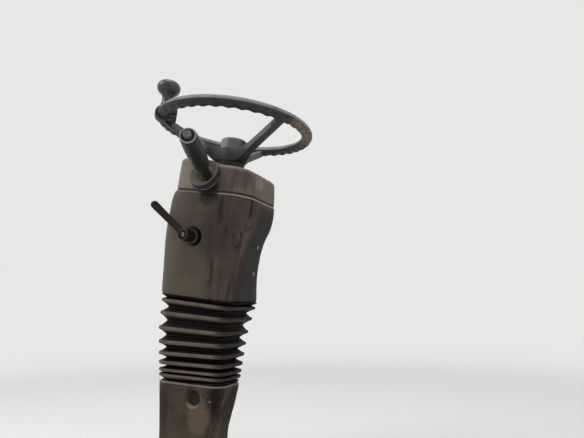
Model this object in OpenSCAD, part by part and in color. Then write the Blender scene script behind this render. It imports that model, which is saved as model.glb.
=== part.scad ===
// Steering column with its steering wheel, from the cab of a wheeled excavator.
// X points to the vehicle's right, Y forward and Z up, in millimetres.
// The origin is the middle of the base plate's underside, where it bolts to the cab floor.
// A point on the column is given by x, by y forward of the column's axis, and by its height
// along that axis above the tilt pivot.

/* [Column] */
// Height of the tilt pivot above the floor
pivot_z = 328.6; // [315:1:345]
// Lean of the column towards the driver, as parked
lean = 8.2; // [4:0.1:12]
// Height of the main housing's bottom edge above the pivot
housing_bottom = 64; // [58:1:70]
// Height of the main housing, up to its split from the top cover
housing_height = 248; // [238:1:262]
// Height of the top cover where the shaft leaves it
cover_height = 69; // [64:1:80]
// Rise of the top cover's upper face towards the front, per unit of length
cover_slope = 0.12; // [0.04:0.01:0.2]
// Wall of the moulded housings
wall = 3.2; // [2.4:0.1:4]
// Outer diameter of the column jacket
jacket_d = 42; // [38:1:44]
// Wall of the column jacket
jacket_wall = 3; // [2.5:0.5:4]
// Diameter of the steering shaft
shaft_d = 20; // [18:0.5:22]

/* [Foot] */
// Length of the base plate, along X
plate_x = 160; // [150:1:180]
// Length of the base plate, along Y
plate_y = 184; // [176:1:200]
// Thickness of the base plate
plate_t = 8; // [6:1:12]
// Distance between the floor bolts, along X
bolt_pitch_x = 132; // [128:1:136]
// Distance between the floor bolts, along Y
bolt_pitch_y = 156; // [150:1:160]
// Diameter of the floor bolt holes
bolt_hole_d = 11; // [9:0.5:13]
// Height of the foot cover's top edge above the floor
foot_top = 214; // [206:1:222]
// Width of the welded post
post_x = 50; // [48:0.5:52]
// Depth of the welded post
post_y = 76; // [70:1:86]
// Depth of the post behind the column's axis
post_back = 22; // [19:0.5:24]
// Plate thickness of the welded post
post_t = 5; // [4:0.5:6]
// Diameter of the lower shaft
lower_shaft_d = 22; // [18:0.5:24]

/* [Bellows] */
// Depth of a pleat
pleat_depth = 17; // [12:0.5:18]
// Thickness of the rubber
rubber_t = 2.2; // [1.6:0.1:2.6]

/* [Steering wheel] */
// Outer diameter of the rim
wheel_d = 379; // [350:1:400]
// Thickness of the rim's grip
rim_d = 26.5; // [24:0.5:30]
// Number of finger grips under the rim
grip_count = 39; // [30:1:44]
// Depth of a finger grip
grip_depth = 2.6; // [1.4:0.1:3.2]
// Height of the rim's middle above the hub
rim_rise = 56.5; // [50:0.5:66]
// Diameter of the hub
hub_d = 68; // [62:1:74]
// Height of the hub, without its cap
hub_height = 42.5; // [40:0.5:52]
// Height of the hub's cap
cap_height = 31.5; // [22:0.5:36]
// Width of a spoke at the hub
spoke_w = 20; // [16:0.5:24]
// Width of a spoke at the rim
spoke_end_w = 16; // [13:0.5:20]
// Depth of a spoke
spoke_depth = 18.6; // [15:0.2:21]
// Radius of the rounding between the hub and a spoke's side
spoke_blend = 70; // [30:5:80]
// Angle of the first spoke, counted from the vehicle's right
spoke_angle = 6; // [-20:1:20]
// Angle of the spinner knob round the rim, counted from the vehicle's right
knob_angle = 133; // [131:1:145]
// Diameter of the spinner knob
knob_d = 54; // [50:1:62]
// Height of the spinner knob
knob_height = 61; // [54:1:70]

/* [Stalk] */
// Length of the stalk from the cover's side to its tip
stalk_length = 180; // [165:1:200]
// Diameter of the stalk's grip
stalk_d = 38; // [32:0.5:42]
// Angle of the stalk back from straight left
stalk_back = 21.9; // [18:0.1:25]
// Angle of the stalk above square to the column
stalk_rise = 10.1; // [6:0.1:14]
// Diameter of the dish round the stalk
dish_d = 69.8; // [66:0.2:72]
// Distance of the dish's lip from the stalk's ball
dish_depth = 16.3; // [15:0.1:18]
// Angle of the dish above square to the column
dish_rise = 20; // [16:1:22]
// Length of the switch body inside the cover, behind the stalk's ball
switch_length = 62; // [54:1:68]

/* [Tilt lever] */
// Length of the lever from its axis to the tip
lever_length = 122; // [100:1:128]
// Diameter of the lever's grip
lever_d = 18; // [14:0.5:19]
// Angle of the lever above straight forward
lever_rise = 34; // [28:1:38]
// Diameter of the lever's spindle
spindle_d = 14; // [10:0.5:16]

/* [Hidden] */
$fn = 64;
moulding = [0.36, 0.33, 0.31];
black = [0.10, 0.10, 0.11];
rubber = [0.13, 0.12, 0.12];
steel = [0.55, 0.55, 0.57];
primer = [0.20, 0.21, 0.22];
// Small gaps: between a part and its seat, between a cut and what it goes round, and of a running fit
seat = 0.2;
cut_gap = 0.05;
run_gap = 0.05;
eps = 1;
// Segments of a corner in the moulded shells
corner_n = 8;

// Place of the column's axis behind the middle of the base plate
pivot_y = -36;
// Heights along the column
split_height = housing_bottom + housing_height;
cover_top = split_height + cover_height;
hub_low = cover_top + 8;
hub_top = hub_low + hub_height;
rim_height = hub_top + rim_rise;
fork_top = 34;
jacket_top = cover_top + 2;
shaft_end = housing_bottom + 172;

// Pivot pins, the ears that hold them, and the gap between an ear and the column's fork
pin_d = 12;
ear_r = 19;
ear_in = post_x / 2 - post_t;
cheek_gap = 0.3;
cheek_t = 6;

// Bearing plates of the lower shaft, and the hole for it in the base plate
bearing_low = 24;
bearing_high = 196;
bearing_t = 10;
shaft_opening_r = lower_shaft_d / 2 + 6;
input_bore_r = 7.5;
input_bore_depth = 22;
lower_shaft_low = 2;
lower_shaft_high = pivot_z - 48;

// Round recess in the foot cover's left side
foot_recess_z = 188;
foot_recess_y = 2;
foot_recess_r = 18;
foot_recess_depth = 9;

// Steering shaft, jacket and the lands of the jacket that the shaft runs in
jacket_r = jacket_d / 2;
shaft_r = shaft_d / 2;
land = 26;

// Webs of the main housing, and the collars in which they hold the jacket
web_heights = [housing_bottom + 36, split_height - 30];
web_t = 3;
collar_t = 4;

// Tilt lever: its axis, the pocket in the housing's side, its bearing and its head
lever_y = 19;
lever_z = housing_bottom + 144;
pocket_r = 22;
pocket_depth = 5.5;
bearing_l = 12;
lever_head_x = 118;
lever_hub_r = 15;
lever_screw_r = 5.5;

// Stalk: where its axis crosses the plane of the cover's side, its direction, its ball and pivot pins
stalk_foot = [-95, 0.4, split_height + 37];
stalk_dir = [-cos(stalk_back) * cos(stalk_rise), -sin(stalk_back) * cos(stalk_rise), sin(stalk_rise)];
ball_r = 14;
ball_at = -12;
trunnion_r = 3.5;
trunnion_l = 20;
neck_r = 11.5;
grip_from = 44;
rod_in_grip = 20;
button_r = 8.5;
button_depth = 10;
button_proud = 8;
// Dish and switch body: radii of the body inside the cover, of the base ring and of the ring before it,
// and how far the base ring and the wide part of the body reach behind the ball
dish_r = dish_d / 2;
socket_r = dish_r - 3.9;
base_ring_r = dish_r + 3.1;
front_ring_r = dish_r + 2.4;
ring_back = 4;
switch_r = 20;
switch_wide = 22;

// Rim, and the knob that stands a little inside the rim's middle line
rim_r = rim_d / 2;
rim_radius = wheel_d / 2 - rim_r;
grip_phase = 2.8;
spoke_angles = [for (i = [0:2]) spoke_angle + 120 * i];
hub_r = hub_d / 2;
cap_r = hub_r - 2.5;
cap_edge = 7;
knob_in = 5;
knob_stud_r = 5;
knob_low = rim_r + 9.3;
knob_bore = knob_height * 0.69;
clamp_l = 30;
clamp_t = 5;
clamp_foot_r = 13;
// Lug inside the clamp: how far it reaches in from the rim's middle line, and half its height.
// The clamp's lower inner quarter and the lug end here, beside the spoke
lug_l = 32;
lug_half = 13;
lug_side = min(clamp_l, (rim_radius - lug_l) * sin(knob_angle - spoke_angle - 120) - spoke_w / 2);

// Outer sections of the main housing, column frame.
// Columns: height, rise towards the front, half width, front, rear, corner radius
housing_rows = [
    [housing_bottom,       0,     77.6, 103.4, -87.8, 32],
    [housing_bottom + 45,  0,     79.8, 107.6, -82.0, 34],
    [housing_bottom + 82,  0,     81.6, 110.8, -79.4, 36],
    [housing_bottom + 116, 0,     83.4, 113.6, -80.4, 37],
    [housing_bottom + 147, 0,     85.0, 115.8, -85.0, 39],
    [housing_bottom + 168, 0,     86.2, 116.2, -92.0, 41],
    [split_height - 63,    0.008, 87.2, 115.6, -98.5, 42],
    [split_height - 42,    0.016, 88.2, 114.0, -102.6, 43],
    [split_height - 24,    0.028, 89.0, 112.4, -103.9, 44],
    [split_height - 10,    0.038, 89.6, 109.6, -103.6, 45],
    [split_height - 3,     0.042, 89.2, 106.4, -102.6, 45],
    [split_height,         0.042, 87.4, 103.4, -101.0, 43]];

// Outer sections of the top cover up to its shoulder, same columns
cover_low = split_height + seat;
cover_edge = 24;
cover_bands = 6;
cover_rows = [
    [cover_low,              0.042,             86.6, 101.2, -100.2, 43],
    [cover_low + 3,          0.046,             88.4, 102.2, -101.6, 44],
    [cover_low + 30,         0.02 + 0.6 * cover_slope, 87.4, 102.0, -100.0, 43],
    [cover_top - cover_edge, cover_slope,       86.2, 101.0, -98.0, 42]];
cover_shoulder = cover_rows[len(cover_rows) - 1];

// Outer sections of the foot cover, measured from the floor and from the column's axis.
// Columns: height, rise, half width, front, rear, corner radius
foot_rows = [
    [plate_t + seat, 0, 53.4, 104.4, -28.0, 26],
    [40,             0, 52.8, 104.0, -29.5, 26],
    [107,            0, 51.0, 104.9, -35.0, 27],
    [140,            0, 50.1, 107.0, -44.0, 28],
    [163,            0, 49.6, 108.4, -52.0, 28],
    [foot_top - 24,  0, 49.3, 110.0, -59.6, 28],
    [foot_top - 4,   0, 49.2, 111.0, -63.8, 28],
    [foot_top - 1.5, 0, 48.7, 110.6, -63.6, 28],
    [foot_top,       0, 47.2, 109.2, -62.2, 27]];

// Rise from each pleat of the bellows to the next, from the foot up, in shares of the whole
pleat_steps = [13, 12, 16, 19, 22, 26, 31, 26, 13];
// Share of the column's lean that each pleat has taken up
pleat_lean = [0, 0, 0, 0, 0, 0.18, 0.42, 0.78, 0.92, 1];
// How far the bellows' two ends stand in from its crests, so that they lap the foot and the housing
low_lap = 2.2;
high_lap = -1.4;
// Crest sections at the two ends: half width, front, rear, corner radius
bellows_low = [48.7, 110.2, -63.4, 28];
bellows_high = [75, 101.5, -85.5, 31];

// Spoke, from the hub to the rim: a straight line along its top, which levels out at the hub
spoke_slope = (rim_rise + 6.5) / (rim_radius - 45);
function spoke_line(d) = hub_top - 7.3 + spoke_slope * (d - hub_r);
function spoke_half(d) = (spoke_w + (spoke_end_w - spoke_w) * max(0, d - hub_r) / (rim_radius - hub_r)) / 2;
spoke_level = 6.6;
// Columns: distance from the axis, height of the top face, half width, height of the lower face
spoke_rows = [for (r = [
        [hub_r - 8,       spoke_level + 0.6, 0,   0],
        [hub_r + 14,      spoke_level,       0,   0],
        [hub_r + 22,      spoke_level + 0.5, 0,   0],
        [hub_r + 28,      spoke_level + 1.8, 0,   0],
        [hub_r + 34,      spoke_level + 3.9, 0,   0],
        [hub_r + 42,      0,                 0,   0],
        [rim_radius - 24, 0,                 0,   0.2],
        [rim_radius - 15, 0,                 0.6, 1.0],
        [rim_radius - 9,  0,                 1.6, 2.2],
        [rim_radius - 4,  0,                 3.4, 3.6]])
    [r[0], r[1] > 0 ? hub_top + r[1] : spoke_line(r[0]), spoke_half(r[0]) + r[2],
     spoke_line(r[0]) - spoke_depth + r[3]]];

// Rounding between the hub and both sides of a spoke, same columns
blend_far = sqrt(pow(hub_r + spoke_blend, 2) - pow(spoke_w / 2 + spoke_blend, 2));
blend_near = hub_r * cos(atan2(spoke_w / 2 + spoke_blend, blend_far));
blend_bands = 6;
blend_rows = [for (i = [0:blend_bands])
    let (d = blend_near + (blend_far - blend_near) * i / blend_bands)
    [d, hub_top, spoke_w / 2 + spoke_blend - sqrt(pow(spoke_blend, 2) - pow(blend_far - d, 2)) - 0.05 * i,
     spoke_line(d) - spoke_depth + 0.05 * i]];

// Points of a rounded rectangle: half width, front, rear and corner radius, counter-clockwise
function ring(w, f, b, r) = [
    for (q = [0:3]) for (i = [0:corner_n])
        let (a = 90 * q + 90 * i / corner_n,
             cx = (q == 0 || q == 3) ? w - r : r - w,
             cy = q < 2 ? f - r : b + r)
        [cx + r * cos(a), cy + r * sin(a)]];

// A section of a shell, moved in by t and up by dz
function section(s, t = 0, dz = 0) = [
    for (p = ring(s[2] - t, s[3] - t, s[4] + t, max(s[5] - t, 4))) [p[0], p[1], s[0] + dz + s[1] * p[1]]];

// A section at any height between the rows of a table
function column(rows, c) = [for (s = rows) [s[0], s[c]]];
function at(rows, h) = [h, 0, lookup(h, column(rows, 2)), lookup(h, column(rows, 3)),
                        lookup(h, column(rows, 4)), lookup(h, column(rows, 5))];

// A quarter of a circle for the rounded edge of a turned part, from its side to its end
function rounded(r, high, edge) = [
    for (i = [0:4]) let (a = 22.5 * i) [r - edge + edge * cos(a), high - edge + edge * sin(a)]];

// Skin over a list of closed sections, each a list of points
module loft(sections) {
    m = len(sections[0]);
    n = len(sections);
    points = [for (s = sections) for (p = s) p];
    sides = [for (j = [0:n - 2]) for (i = [0:m - 1])
        let (a = j * m + i, b = j * m + (i + 1) % m)
        each [[a, a + m, b + m], [a, b + m, b]]];
    low = [for (i = [0:m - 1]) i];
    high = [for (i = [m - 1:-1:0]) (n - 1) * m + i];
    polyhedron(points, concat([low], sides, [high]), convexity = 6);
}

module in_column() {
    translate([0, pivot_y, pivot_z]) rotate([lean, 0, 0]) children();
}

module on_axis() {
    translate([0, pivot_y, 0]) children();
}

// Turns +Z to point to the vehicle's left
module leftwards() {
    rotate([0, -90, 0]) children();
}

module rod(r, low, high) {
    translate([0, 0, low]) cylinder(r = r, h = high - low);
}

// Base

module base_plate() {
    color(primer) difference() {
        linear_extrude(plate_t) polygon(ring(plate_x / 2, plate_y / 2, -plate_y / 2, 14));
        for (x = [-1, 1]) for (y = [-1, 1])
            translate([x * bolt_pitch_x / 2, y * bolt_pitch_y / 2, -eps])
                cylinder(d = bolt_hole_d, h = plate_t + 2 * eps);
        on_axis() rod(shaft_opening_r, -eps, plate_t + eps);
    }
}

// Welded post: a box of plates with two bearing plates, and two ears that hold the pivot pins
module post() {
    color(primer) on_axis() difference() {
        union() {
            difference() {
                translate([-post_x / 2, -post_back, plate_t]) cube([post_x, post_y, foot_top - 14 - plate_t]);
                translate([-ear_in, post_t - post_back, plate_t - eps])
                    cube([2 * ear_in, post_y - 2 * post_t, foot_top]);
            }
            for (z = [bearing_low, bearing_high])
                translate([-ear_in, post_t - post_back, z - bearing_t / 2])
                    cube([2 * ear_in, post_y - 2 * post_t, bearing_t]);
            for (s = [-1, 1]) translate([s > 0 ? ear_in : -post_x / 2, 0, 0]) rotate([90, 0, 90])
                linear_extrude(post_t) union() {
                    translate([0, pivot_z]) circle(r = ear_r);
                    polygon([[-post_back, foot_top - 20], [post_y - post_back, foot_top - 20],
                             [ear_r, pivot_z], [-ear_r, pivot_z]]);
                }
        }
        rod(lower_shaft_d / 2 + run_gap, 0, foot_top);
        translate([-post_x, 0, pivot_z]) rotate([0, 90, 0]) cylinder(d = pin_d + 2 * cut_gap, h = 2 * post_x);
    }
}

// Two headed pins, one through each ear and into the column's fork
module pivot_pins() {
    color(steel) translate([0, pivot_y, pivot_z]) for (s = [0, 1]) mirror([s, 0, 0]) rotate([0, 90, 0]) {
        rod(pin_d / 2, ear_in - cheek_gap - cheek_t, post_x / 2 + seat);
        rod(pin_d / 2 + 3, post_x / 2 + seat, post_x / 2 + seat + 3);
    }
}

// Lower shaft in its two bearing plates, with a collar under the upper one
module lower_shaft() {
    collar_top = bearing_high - bearing_t / 2 - 0.5;
    color(steel) on_axis() difference() {
        union() {
            rod(lower_shaft_d / 2, lower_shaft_low, lower_shaft_high);
            rod(lower_shaft_d / 2 + 3, collar_top - 6, collar_top);
        }
        rod(input_bore_r, lower_shaft_low - eps, lower_shaft_low + input_bore_depth);
    }
}

// Moulded cover of the foot, with a round recess in its left side
module foot_cover() {
    recess_x = -lookup(foot_recess_z, column(foot_rows, 2));
    boss_t = 2.4;
    color(moulding) on_axis() difference() {
        union() {
            difference() {
                loft([for (s = foot_rows) section(s)]);
                loft(concat([section(foot_rows[0], wall, -eps)], [for (s = foot_rows) section(s, wall)],
                            [section(foot_rows[len(foot_rows) - 1], wall, eps)]));
            }
            translate([recess_x, foot_recess_y, foot_recess_z]) rotate([0, 90, 0])
                rod(foot_recess_r + boss_t, 1, foot_recess_depth + boss_t);
        }
        translate([recess_x, foot_recess_y, foot_recess_z]) rotate([0, 90, 0])
            rod(foot_recess_r, -5, foot_recess_depth);
    }
}

// Place of a bellows section: share of the height from foot to housing, and share of the lean
function bellows_axis(u) = let (
        low = foot_top + seat,
        high = pivot_z + (housing_bottom - seat) * cos(lean),
        z = low + u * (high - low))
    [z > pivot_z ? -(z - pivot_z) * tan(lean) : 0, z];

function bellows_section(u, k, inset) = let (
        c = bellows_axis(u),
        a = lean * k,
        s = [for (i = [0:3]) bellows_low[i] + (bellows_high[i] - bellows_low[i]) * u])
    [for (p = ring(s[0] - inset, s[1] - inset, s[2] + inset, max(s[3] - inset, 6)))
        [p[0], pivot_y + c[0] + p[1] * cos(a), c[1] + p[1] * sin(a)]];

function running(v, n) = n < 0 ? 0 : v[n] + running(v, n - 1);

// Rows of the bellows' skin: share of height, share of lean, inset from the crests.
// Each crest is a flat band between two rows that stand a little in
function bellows_rows(crest, valley) = let (
        whole = running(pleat_steps, len(pleat_steps) - 1),
        n = len(pleat_steps) - 1,
        u = [for (i = [0:n]) running(pleat_steps, i) / whole],
        half = 0.22,
        shoulder = crest + 2)
    concat([[0, 0, low_lap], [pleat_steps[0] * 0.35 / whole, 0, valley]],
        [for (i = [0:n - 1]) let (step_down = pleat_steps[i] / whole, step_up = pleat_steps[i + 1] / whole,
                                  fall = pleat_lean[i + 1] - pleat_lean[i], climb = pleat_lean[i + 2] - pleat_lean[i + 1])
            each [[u[i] - half * step_down * 0.5, pleat_lean[i + 1] - half * fall * 0.5, shoulder],
                  [u[i], pleat_lean[i + 1], crest],
                  [u[i] + half * step_up * 0.5, pleat_lean[i + 1] + half * climb * 0.5, shoulder],
                  [u[i] + step_up * 0.5, pleat_lean[i + 1] + climb * 0.5, i < n - 1 ? valley : valley * 0.6]]],
        [[1, 1, high_lap]]);

// Rubber bellows between foot and housing, eight pleats
module bellows() {
    outer = bellows_rows(0, pleat_depth);
    inner = bellows_rows(rubber_t * 2.2, pleat_depth + rubber_t);
    last = len(inner) - 1;
    color(rubber) difference() {
        loft([for (r = outer) bellows_section(r[0], r[1], r[2])]);
        loft([for (i = [0:last]) let (r = inner[i], over = i == 0 ? -0.02 : i == last ? 0.02 : 0,
                                      inset = i == 0 || i == last ? pleat_depth + rubber_t : r[2])
            bellows_section(r[0] + over, r[1], inset)]);
    }
}

// Column

// Jacket tube with two bearing lands for the shaft, and a fork that turns on the pivot pins
module column_jacket() {
    bore = jacket_r - jacket_wall;
    fit = shaft_r + run_gap;
    color(steel) in_column() {
        translate([0, 0, fork_top]) rotate_extrude() polygon([
            [bore, 0], [jacket_r, 0], [jacket_r, jacket_top - fork_top], [fit, jacket_top - fork_top],
            [fit, jacket_top - fork_top - land], [bore, jacket_top - fork_top - land - 4],
            [bore, shaft_end + land + 8 - fork_top], [fit, shaft_end + land + 4 - fork_top],
            [fit, shaft_end + 4 - fork_top], [bore, shaft_end - fork_top]]);
        difference() {
            for (s = [-1, 1]) translate([s > 0 ? ear_in - cheek_gap - cheek_t : cheek_gap - ear_in, 0, 0])
                rotate([90, 0, 90]) linear_extrude(cheek_t) union() {
                    circle(r = ear_r - 2);
                    polygon([[2 - ear_r, 0], [ear_r - 2, 0], [jacket_r - 2, fork_top + 30],
                             [2 - jacket_r, fork_top + 30]]);
                }
            rotate([0, 90, 0]) rod(pin_d / 2 + run_gap, -post_x, post_x);
            rod(jacket_r - 0.5, fork_top, fork_top + 40);
        }
    }
}

function housing_side(h) = lookup(h, column(housing_rows, 2));

// Moulded main housing: an open shell on two webs that hold it to the jacket,
// and a pocket in its left side that carries the tilt lever's spindle
module main_housing() {
    last = len(housing_rows) - 1;
    pocket_x = -housing_side(lever_z) + pocket_depth;
    color(moulding) in_column() difference() {
        union() {
            difference() {
                loft([for (s = housing_rows) section(s)]);
                loft(concat([section(housing_rows[0], wall, -eps)], [for (s = housing_rows) section(s, wall)],
                            [section(housing_rows[last], wall, eps)]));
            }
            for (h = web_heights) {
                s = at(housing_rows, h);
                translate([0, 0, h]) linear_extrude(web_t) polygon(
                    ring(s[2] - wall / 2, s[3] - wall / 2, s[4] + wall / 2, s[5] - wall / 2));
                rod(jacket_r + collar_t, h - 6, h + 18);
            }
            translate([pocket_x, lever_y, lever_z]) leftwards() {
                rod(pocket_r + 3, -wall, pocket_depth - 1);
                rod(spindle_d / 2 + 4, -bearing_l, 0);
            }
        }
        rod(jacket_r + cut_gap, 0, split_height);
        translate([pocket_x, lever_y, lever_z]) leftwards() {
            rod(pocket_r, 0, 20);
            rod(spindle_d / 2 + run_gap, -30, 1);
        }
    }
}

module along_stalk() {
    in_column() translate(stalk_foot) rotate([0, 0, 180 + stalk_back]) rotate([0, 90 - stalk_rise, 0]) children();
}

// Moulded top cover: a shell with a rounded shoulder and a sloping top, open round shaft and switch
module top_cover() {
    rounding = [for (i = [1:cover_bands]) let (a = 90 * i / cover_bands)
        [cover_shoulder[0] + cover_edge * sin(a), cover_slope, cover_edge * (1 - cos(a))]];
    function shoulder(t, dz) = [for (r = rounding) section(
        [r[0], r[1], cover_shoulder[2] - r[2], cover_shoulder[3] - r[2], cover_shoulder[4] + r[2],
         cover_shoulder[5] - r[2]], t, dz)];
    color(moulding) difference() {
        in_column() difference() {
            union() {
                difference() {
                    loft(concat([for (s = cover_rows) section(s)], shoulder(0, 0)));
                    loft(concat([section(cover_rows[0], wall, -eps)], [for (s = cover_rows) section(s, wall, -0.5)],
                                shoulder(wall, -wall)));
                }
                rod(jacket_r + collar_t, cover_top - 24, cover_top);
            }
            rod(jacket_r + cut_gap, split_height, cover_top + 40);
        }
        along_dish() {
            rod(socket_r + cut_gap, -switch_wide - cut_gap, 60);
            rod(base_ring_r + cut_gap, -ring_back - cut_gap, 60);
        }
    }
}

// Centre of the stalk's ball, with Z out along the dish's own axis
module along_dish() {
    in_column() translate(stalk_foot + ball_at * stalk_dir) rotate([0, 0, 180]) rotate([0, 90 - dish_rise, 0])
        children();
}

module trunnions(gap = 0) {
    along_dish() rotate([0, 90, 0]) rod(trunnion_r + gap, -trunnion_l - 20 * gap, trunnion_l + 20 * gap);
}

// Switch body behind the stalk, stepped rings and the slanted dish that the stalk comes out of
module switch_socket() {
    lip = dish_depth;
    color(black) difference() {
        along_dish() rotate_extrude() polygon([
            [0, -switch_length], [switch_r, -switch_length], [switch_r, -switch_wide], [socket_r, -switch_wide],
            [socket_r, -ring_back], [base_ring_r - 1, -ring_back], [base_ring_r, 1 - ring_back],
            [base_ring_r, 2.4], [base_ring_r - 0.8, 3.4], [front_ring_r - 1.8, 4.2], [front_ring_r - 1.8, 5.8],
            [front_ring_r - 0.6, 6.6], [front_ring_r, 7.4], [front_ring_r, 9], [front_ring_r - 1, 10],
            [dish_r - 0.8, 11], [dish_r - 0.8, lip - 3], [dish_r, lip - 1.6], [dish_r, lip - 0.6],
            [dish_r - 0.8, lip], [dish_r - 1.8, lip - 0.6], [dish_r - 10.4, lip - 4.8], [dish_r - 14.5, lip - 8.3],
            [ball_r + 3.6, 4], [ball_r + 1.2, -1], [0, -1]]);
        along_dish() sphere(r = ball_r + 0.4);
        trunnions(run_gap);
        in_column() rod(jacket_r + cut_gap, 0, cover_top);
    }
}

// Rod of the stalk, with the ball and the two pins that it swings on
module stalk_rod() {
    color(black) {
        along_stalk() {
            translate([0, 0, ball_at]) sphere(r = ball_r);
            rod(neck_r, ball_at, grip_from + rod_in_grip);
        }
        trunnions();
    }
}

// Grip of the stalk, widest in its middle, with a ring round the recess of its push button
module stalk_grip() {
    r = stalk_d / 2;
    l = stalk_length;
    color(black) along_stalk() rotate_extrude() polygon([
        [neck_r + cut_gap, grip_from], [r - 5, grip_from], [r - 3.4, grip_from + 5], [r - 1.6, grip_from + 18],
        [r - 0.3, grip_from + 40], [r, grip_from + 56], [r - 0.3, l - 55], [r - 0.8, l - 30], [r - 1.4, l - 12],
        [r - 2.6, l - 4], [r - 4, l], [r - 5.2, l], [r - 6, l - 2], [r - 6.3, l - 5],
        [button_r + 0.5, l - 5], [button_r + 0.5, l - button_depth], [0, l - button_depth],
        [0, grip_from + rod_in_grip + cut_gap], [neck_r + cut_gap, grip_from + rod_in_grip + cut_gap]]);
}

module stalk_button() {
    color(black) along_stalk() rotate_extrude() polygon(concat(
        [[0, stalk_length - button_depth + seat], [button_r, stalk_length - button_depth + seat]],
        rounded(button_r, stalk_length + button_proud, 1.6), [[0, stalk_length + button_proud]]));
}

module at_lever() {
    in_column() translate([0, lever_y, lever_z]) leftwards() children();
}

// Spindle and hub of the tilt lever, with the eye that its grip is moulded on
module lever_hub() {
    face = housing_side(lever_z) - pocket_depth;
    head_low = lever_head_x - 14;
    head_high = lever_head_x + 6;
    color(black) at_lever() difference() {
        union() {
            rod(spindle_d / 2, face - bearing_l, face + 2);
            rod(lever_hub_r, face + 1, head_low);
            translate([0, 0, head_low]) cylinder(r1 = lever_hub_r, r2 = lever_hub_r - 2.5, h = head_high - head_low);
        }
        rod(lever_screw_r, head_high - 2.5, head_high + eps);
    }
}

module lever_grip() {
    r = lever_d / 2;
    color(black) difference() {
        at_lever() translate([0, 0, lever_head_x - 2]) rotate([0, 0, -lever_rise]) rotate([-90, 0, 0])
            rotate_extrude() polygon([
                [0, 0], [r - 1, 0], [r - 0.6, lever_length * 0.5], [r, lever_length - r],
                [r * 0.9, lever_length - r * 0.5], [r * 0.6, lever_length - 1.5], [0, lever_length]]);
        at_lever() rod(lever_hub_r + cut_gap, 0, lever_head_x + 40);
    }
}

// Wheel

module steering_shaft() {
    color(steel) in_column() rod(shaft_r, shaft_end, hub_top - 8);
}

module rim_ring(gap = 0) {
    in_column() translate([0, 0, rim_height]) rotate_extrude($fn = 120)
        translate([rim_radius, 0]) circle(r = rim_r + gap);
}

// Round grip with a row of finger grips on its underside
module wheel_rim() {
    half_pitch = 0.92 * PI * rim_radius / grip_count;
    scoop_r = (half_pitch * half_pitch + grip_depth * grip_depth) / (2 * grip_depth);
    color(black) difference() {
        rim_ring();
        in_column() for (i = [0:grip_count - 1]) rotate([0, 0, grip_phase + (i + 0.5) * 360 / grip_count])
            translate([rim_radius - rim_r, 0, rim_height - rim_r + grip_depth - scoop_r])
                rotate([0, 90, 0]) cylinder(r = scoop_r, h = rim_d + eps);
    }
}

// Section of a spoke with chamfered edges, wider below than above
function spoke_section(s, low_edge = 2.4, top_edge = 1.2) = [
    for (c = [[-1, 0, -1, top_edge], [-1, 0, 1, low_edge], [-1, low_edge, 1, 0], [1, low_edge, 1, 0],
              [1, 0, 1, low_edge], [1, 0, -1, top_edge], [1, top_edge, -1, 0], [-1, top_edge, -1, 0]])
        [s[0], c[0] * (s[2] - c[1]), c[2] > 0 ? s[3] + c[3] : s[1] - c[3]]];

// Hub and three dished spokes, one moulding
module wheel_spider() {
    color(black) difference() {
        in_column() difference() {
            union() {
                rotate_extrude() polygon([
                    [0, hub_low], [hub_r - 7, hub_low], [hub_r - 6.5, hub_low + 6], [hub_r - 2.5, hub_low + 18],
                    [hub_r - 1, hub_top - 8], [hub_r, hub_top - 3], [hub_r, hub_top], [0, hub_top]]);
                for (a = spoke_angles) rotate([0, 0, a]) {
                    loft([for (s = spoke_rows) spoke_section(s)]);
                    loft([for (s = blend_rows) spoke_section(s)]);
                }
            }
            rod(shaft_r + cut_gap, 0, hub_top + eps);
            rod(hub_r - 12, hub_top - 6, hub_top + eps);
            rod(cap_r + seat, hub_top, hub_top + cap_height);
        }
        rim_ring(cut_gap);
    }
}

module hub_cap() {
    color(black) in_column() translate([0, 0, hub_top + seat]) rotate_extrude()
        polygon(concat([[0, 0], [cap_r, 0]], rounded(cap_r, cap_height, cap_edge), [[0, cap_height]]));
}

module at_knob() {
    in_column() rotate([0, 0, knob_angle]) translate([rim_radius - knob_in, 0, rim_height]) children();
}

// Clamp of the spinner knob: a band round the rim, a foot for the stud, and a lug inside the rim.
// It leaves the rim's lower inner quarter to the spoke where the two are side by side
module knob_clamp() {
    color(black) difference() {
        at_knob() difference() {
            union() {
                translate([knob_in, clamp_l / 2, 0]) rotate([90, 0, 0]) cylinder(r = rim_r + clamp_t, h = clamp_l);
                cylinder(r1 = clamp_foot_r + 4, r2 = clamp_foot_r, h = knob_low - 1.5);
                translate([knob_in - (rim_r + lug_l) / 2, clamp_l / 2, 0]) rotate([90, 0, 0])
                    linear_extrude(max(1, clamp_l / 2 + min(lug_side, clamp_l / 2)))
                        polygon(ring((lug_l - rim_r) / 2, lug_half, -lug_half, 4));
            }
            translate([knob_in - lug_l - eps, -clamp_l, -rim_d])
                cube([lug_l + eps, clamp_l - lug_side, rim_d + 0.5]);
            rod(knob_stud_r + cut_gap, 0, 60);
        }
        rim_ring(cut_gap);
    }
}

module knob_stud() {
    color(steel) at_knob() rod(knob_stud_r, rim_r + 1, knob_low + knob_bore - 2);
}

// Spinner knob: a narrow neck that opens into a round head
module spinner_knob() {
    shape = [[0.48, 0], [0.44, 0.1], [0.437, 0.23], [0.46, 0.33], [0.59, 0.41], [0.81, 0.49], [0.955, 0.59],
             [1, 0.67], [0.97, 0.77], [0.86, 0.87], [0.64, 0.95], [0.34, 0.99], [0, 1]];
    color(black) at_knob() rotate_extrude() polygon(concat(
        [[knob_stud_r + run_gap, knob_low]], [for (p = shape) [p[0] * knob_d / 2, knob_low + p[1] * knob_height]],
        [[0, knob_low + knob_bore], [knob_stud_r + run_gap, knob_low + knob_bore]]));
}

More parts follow.
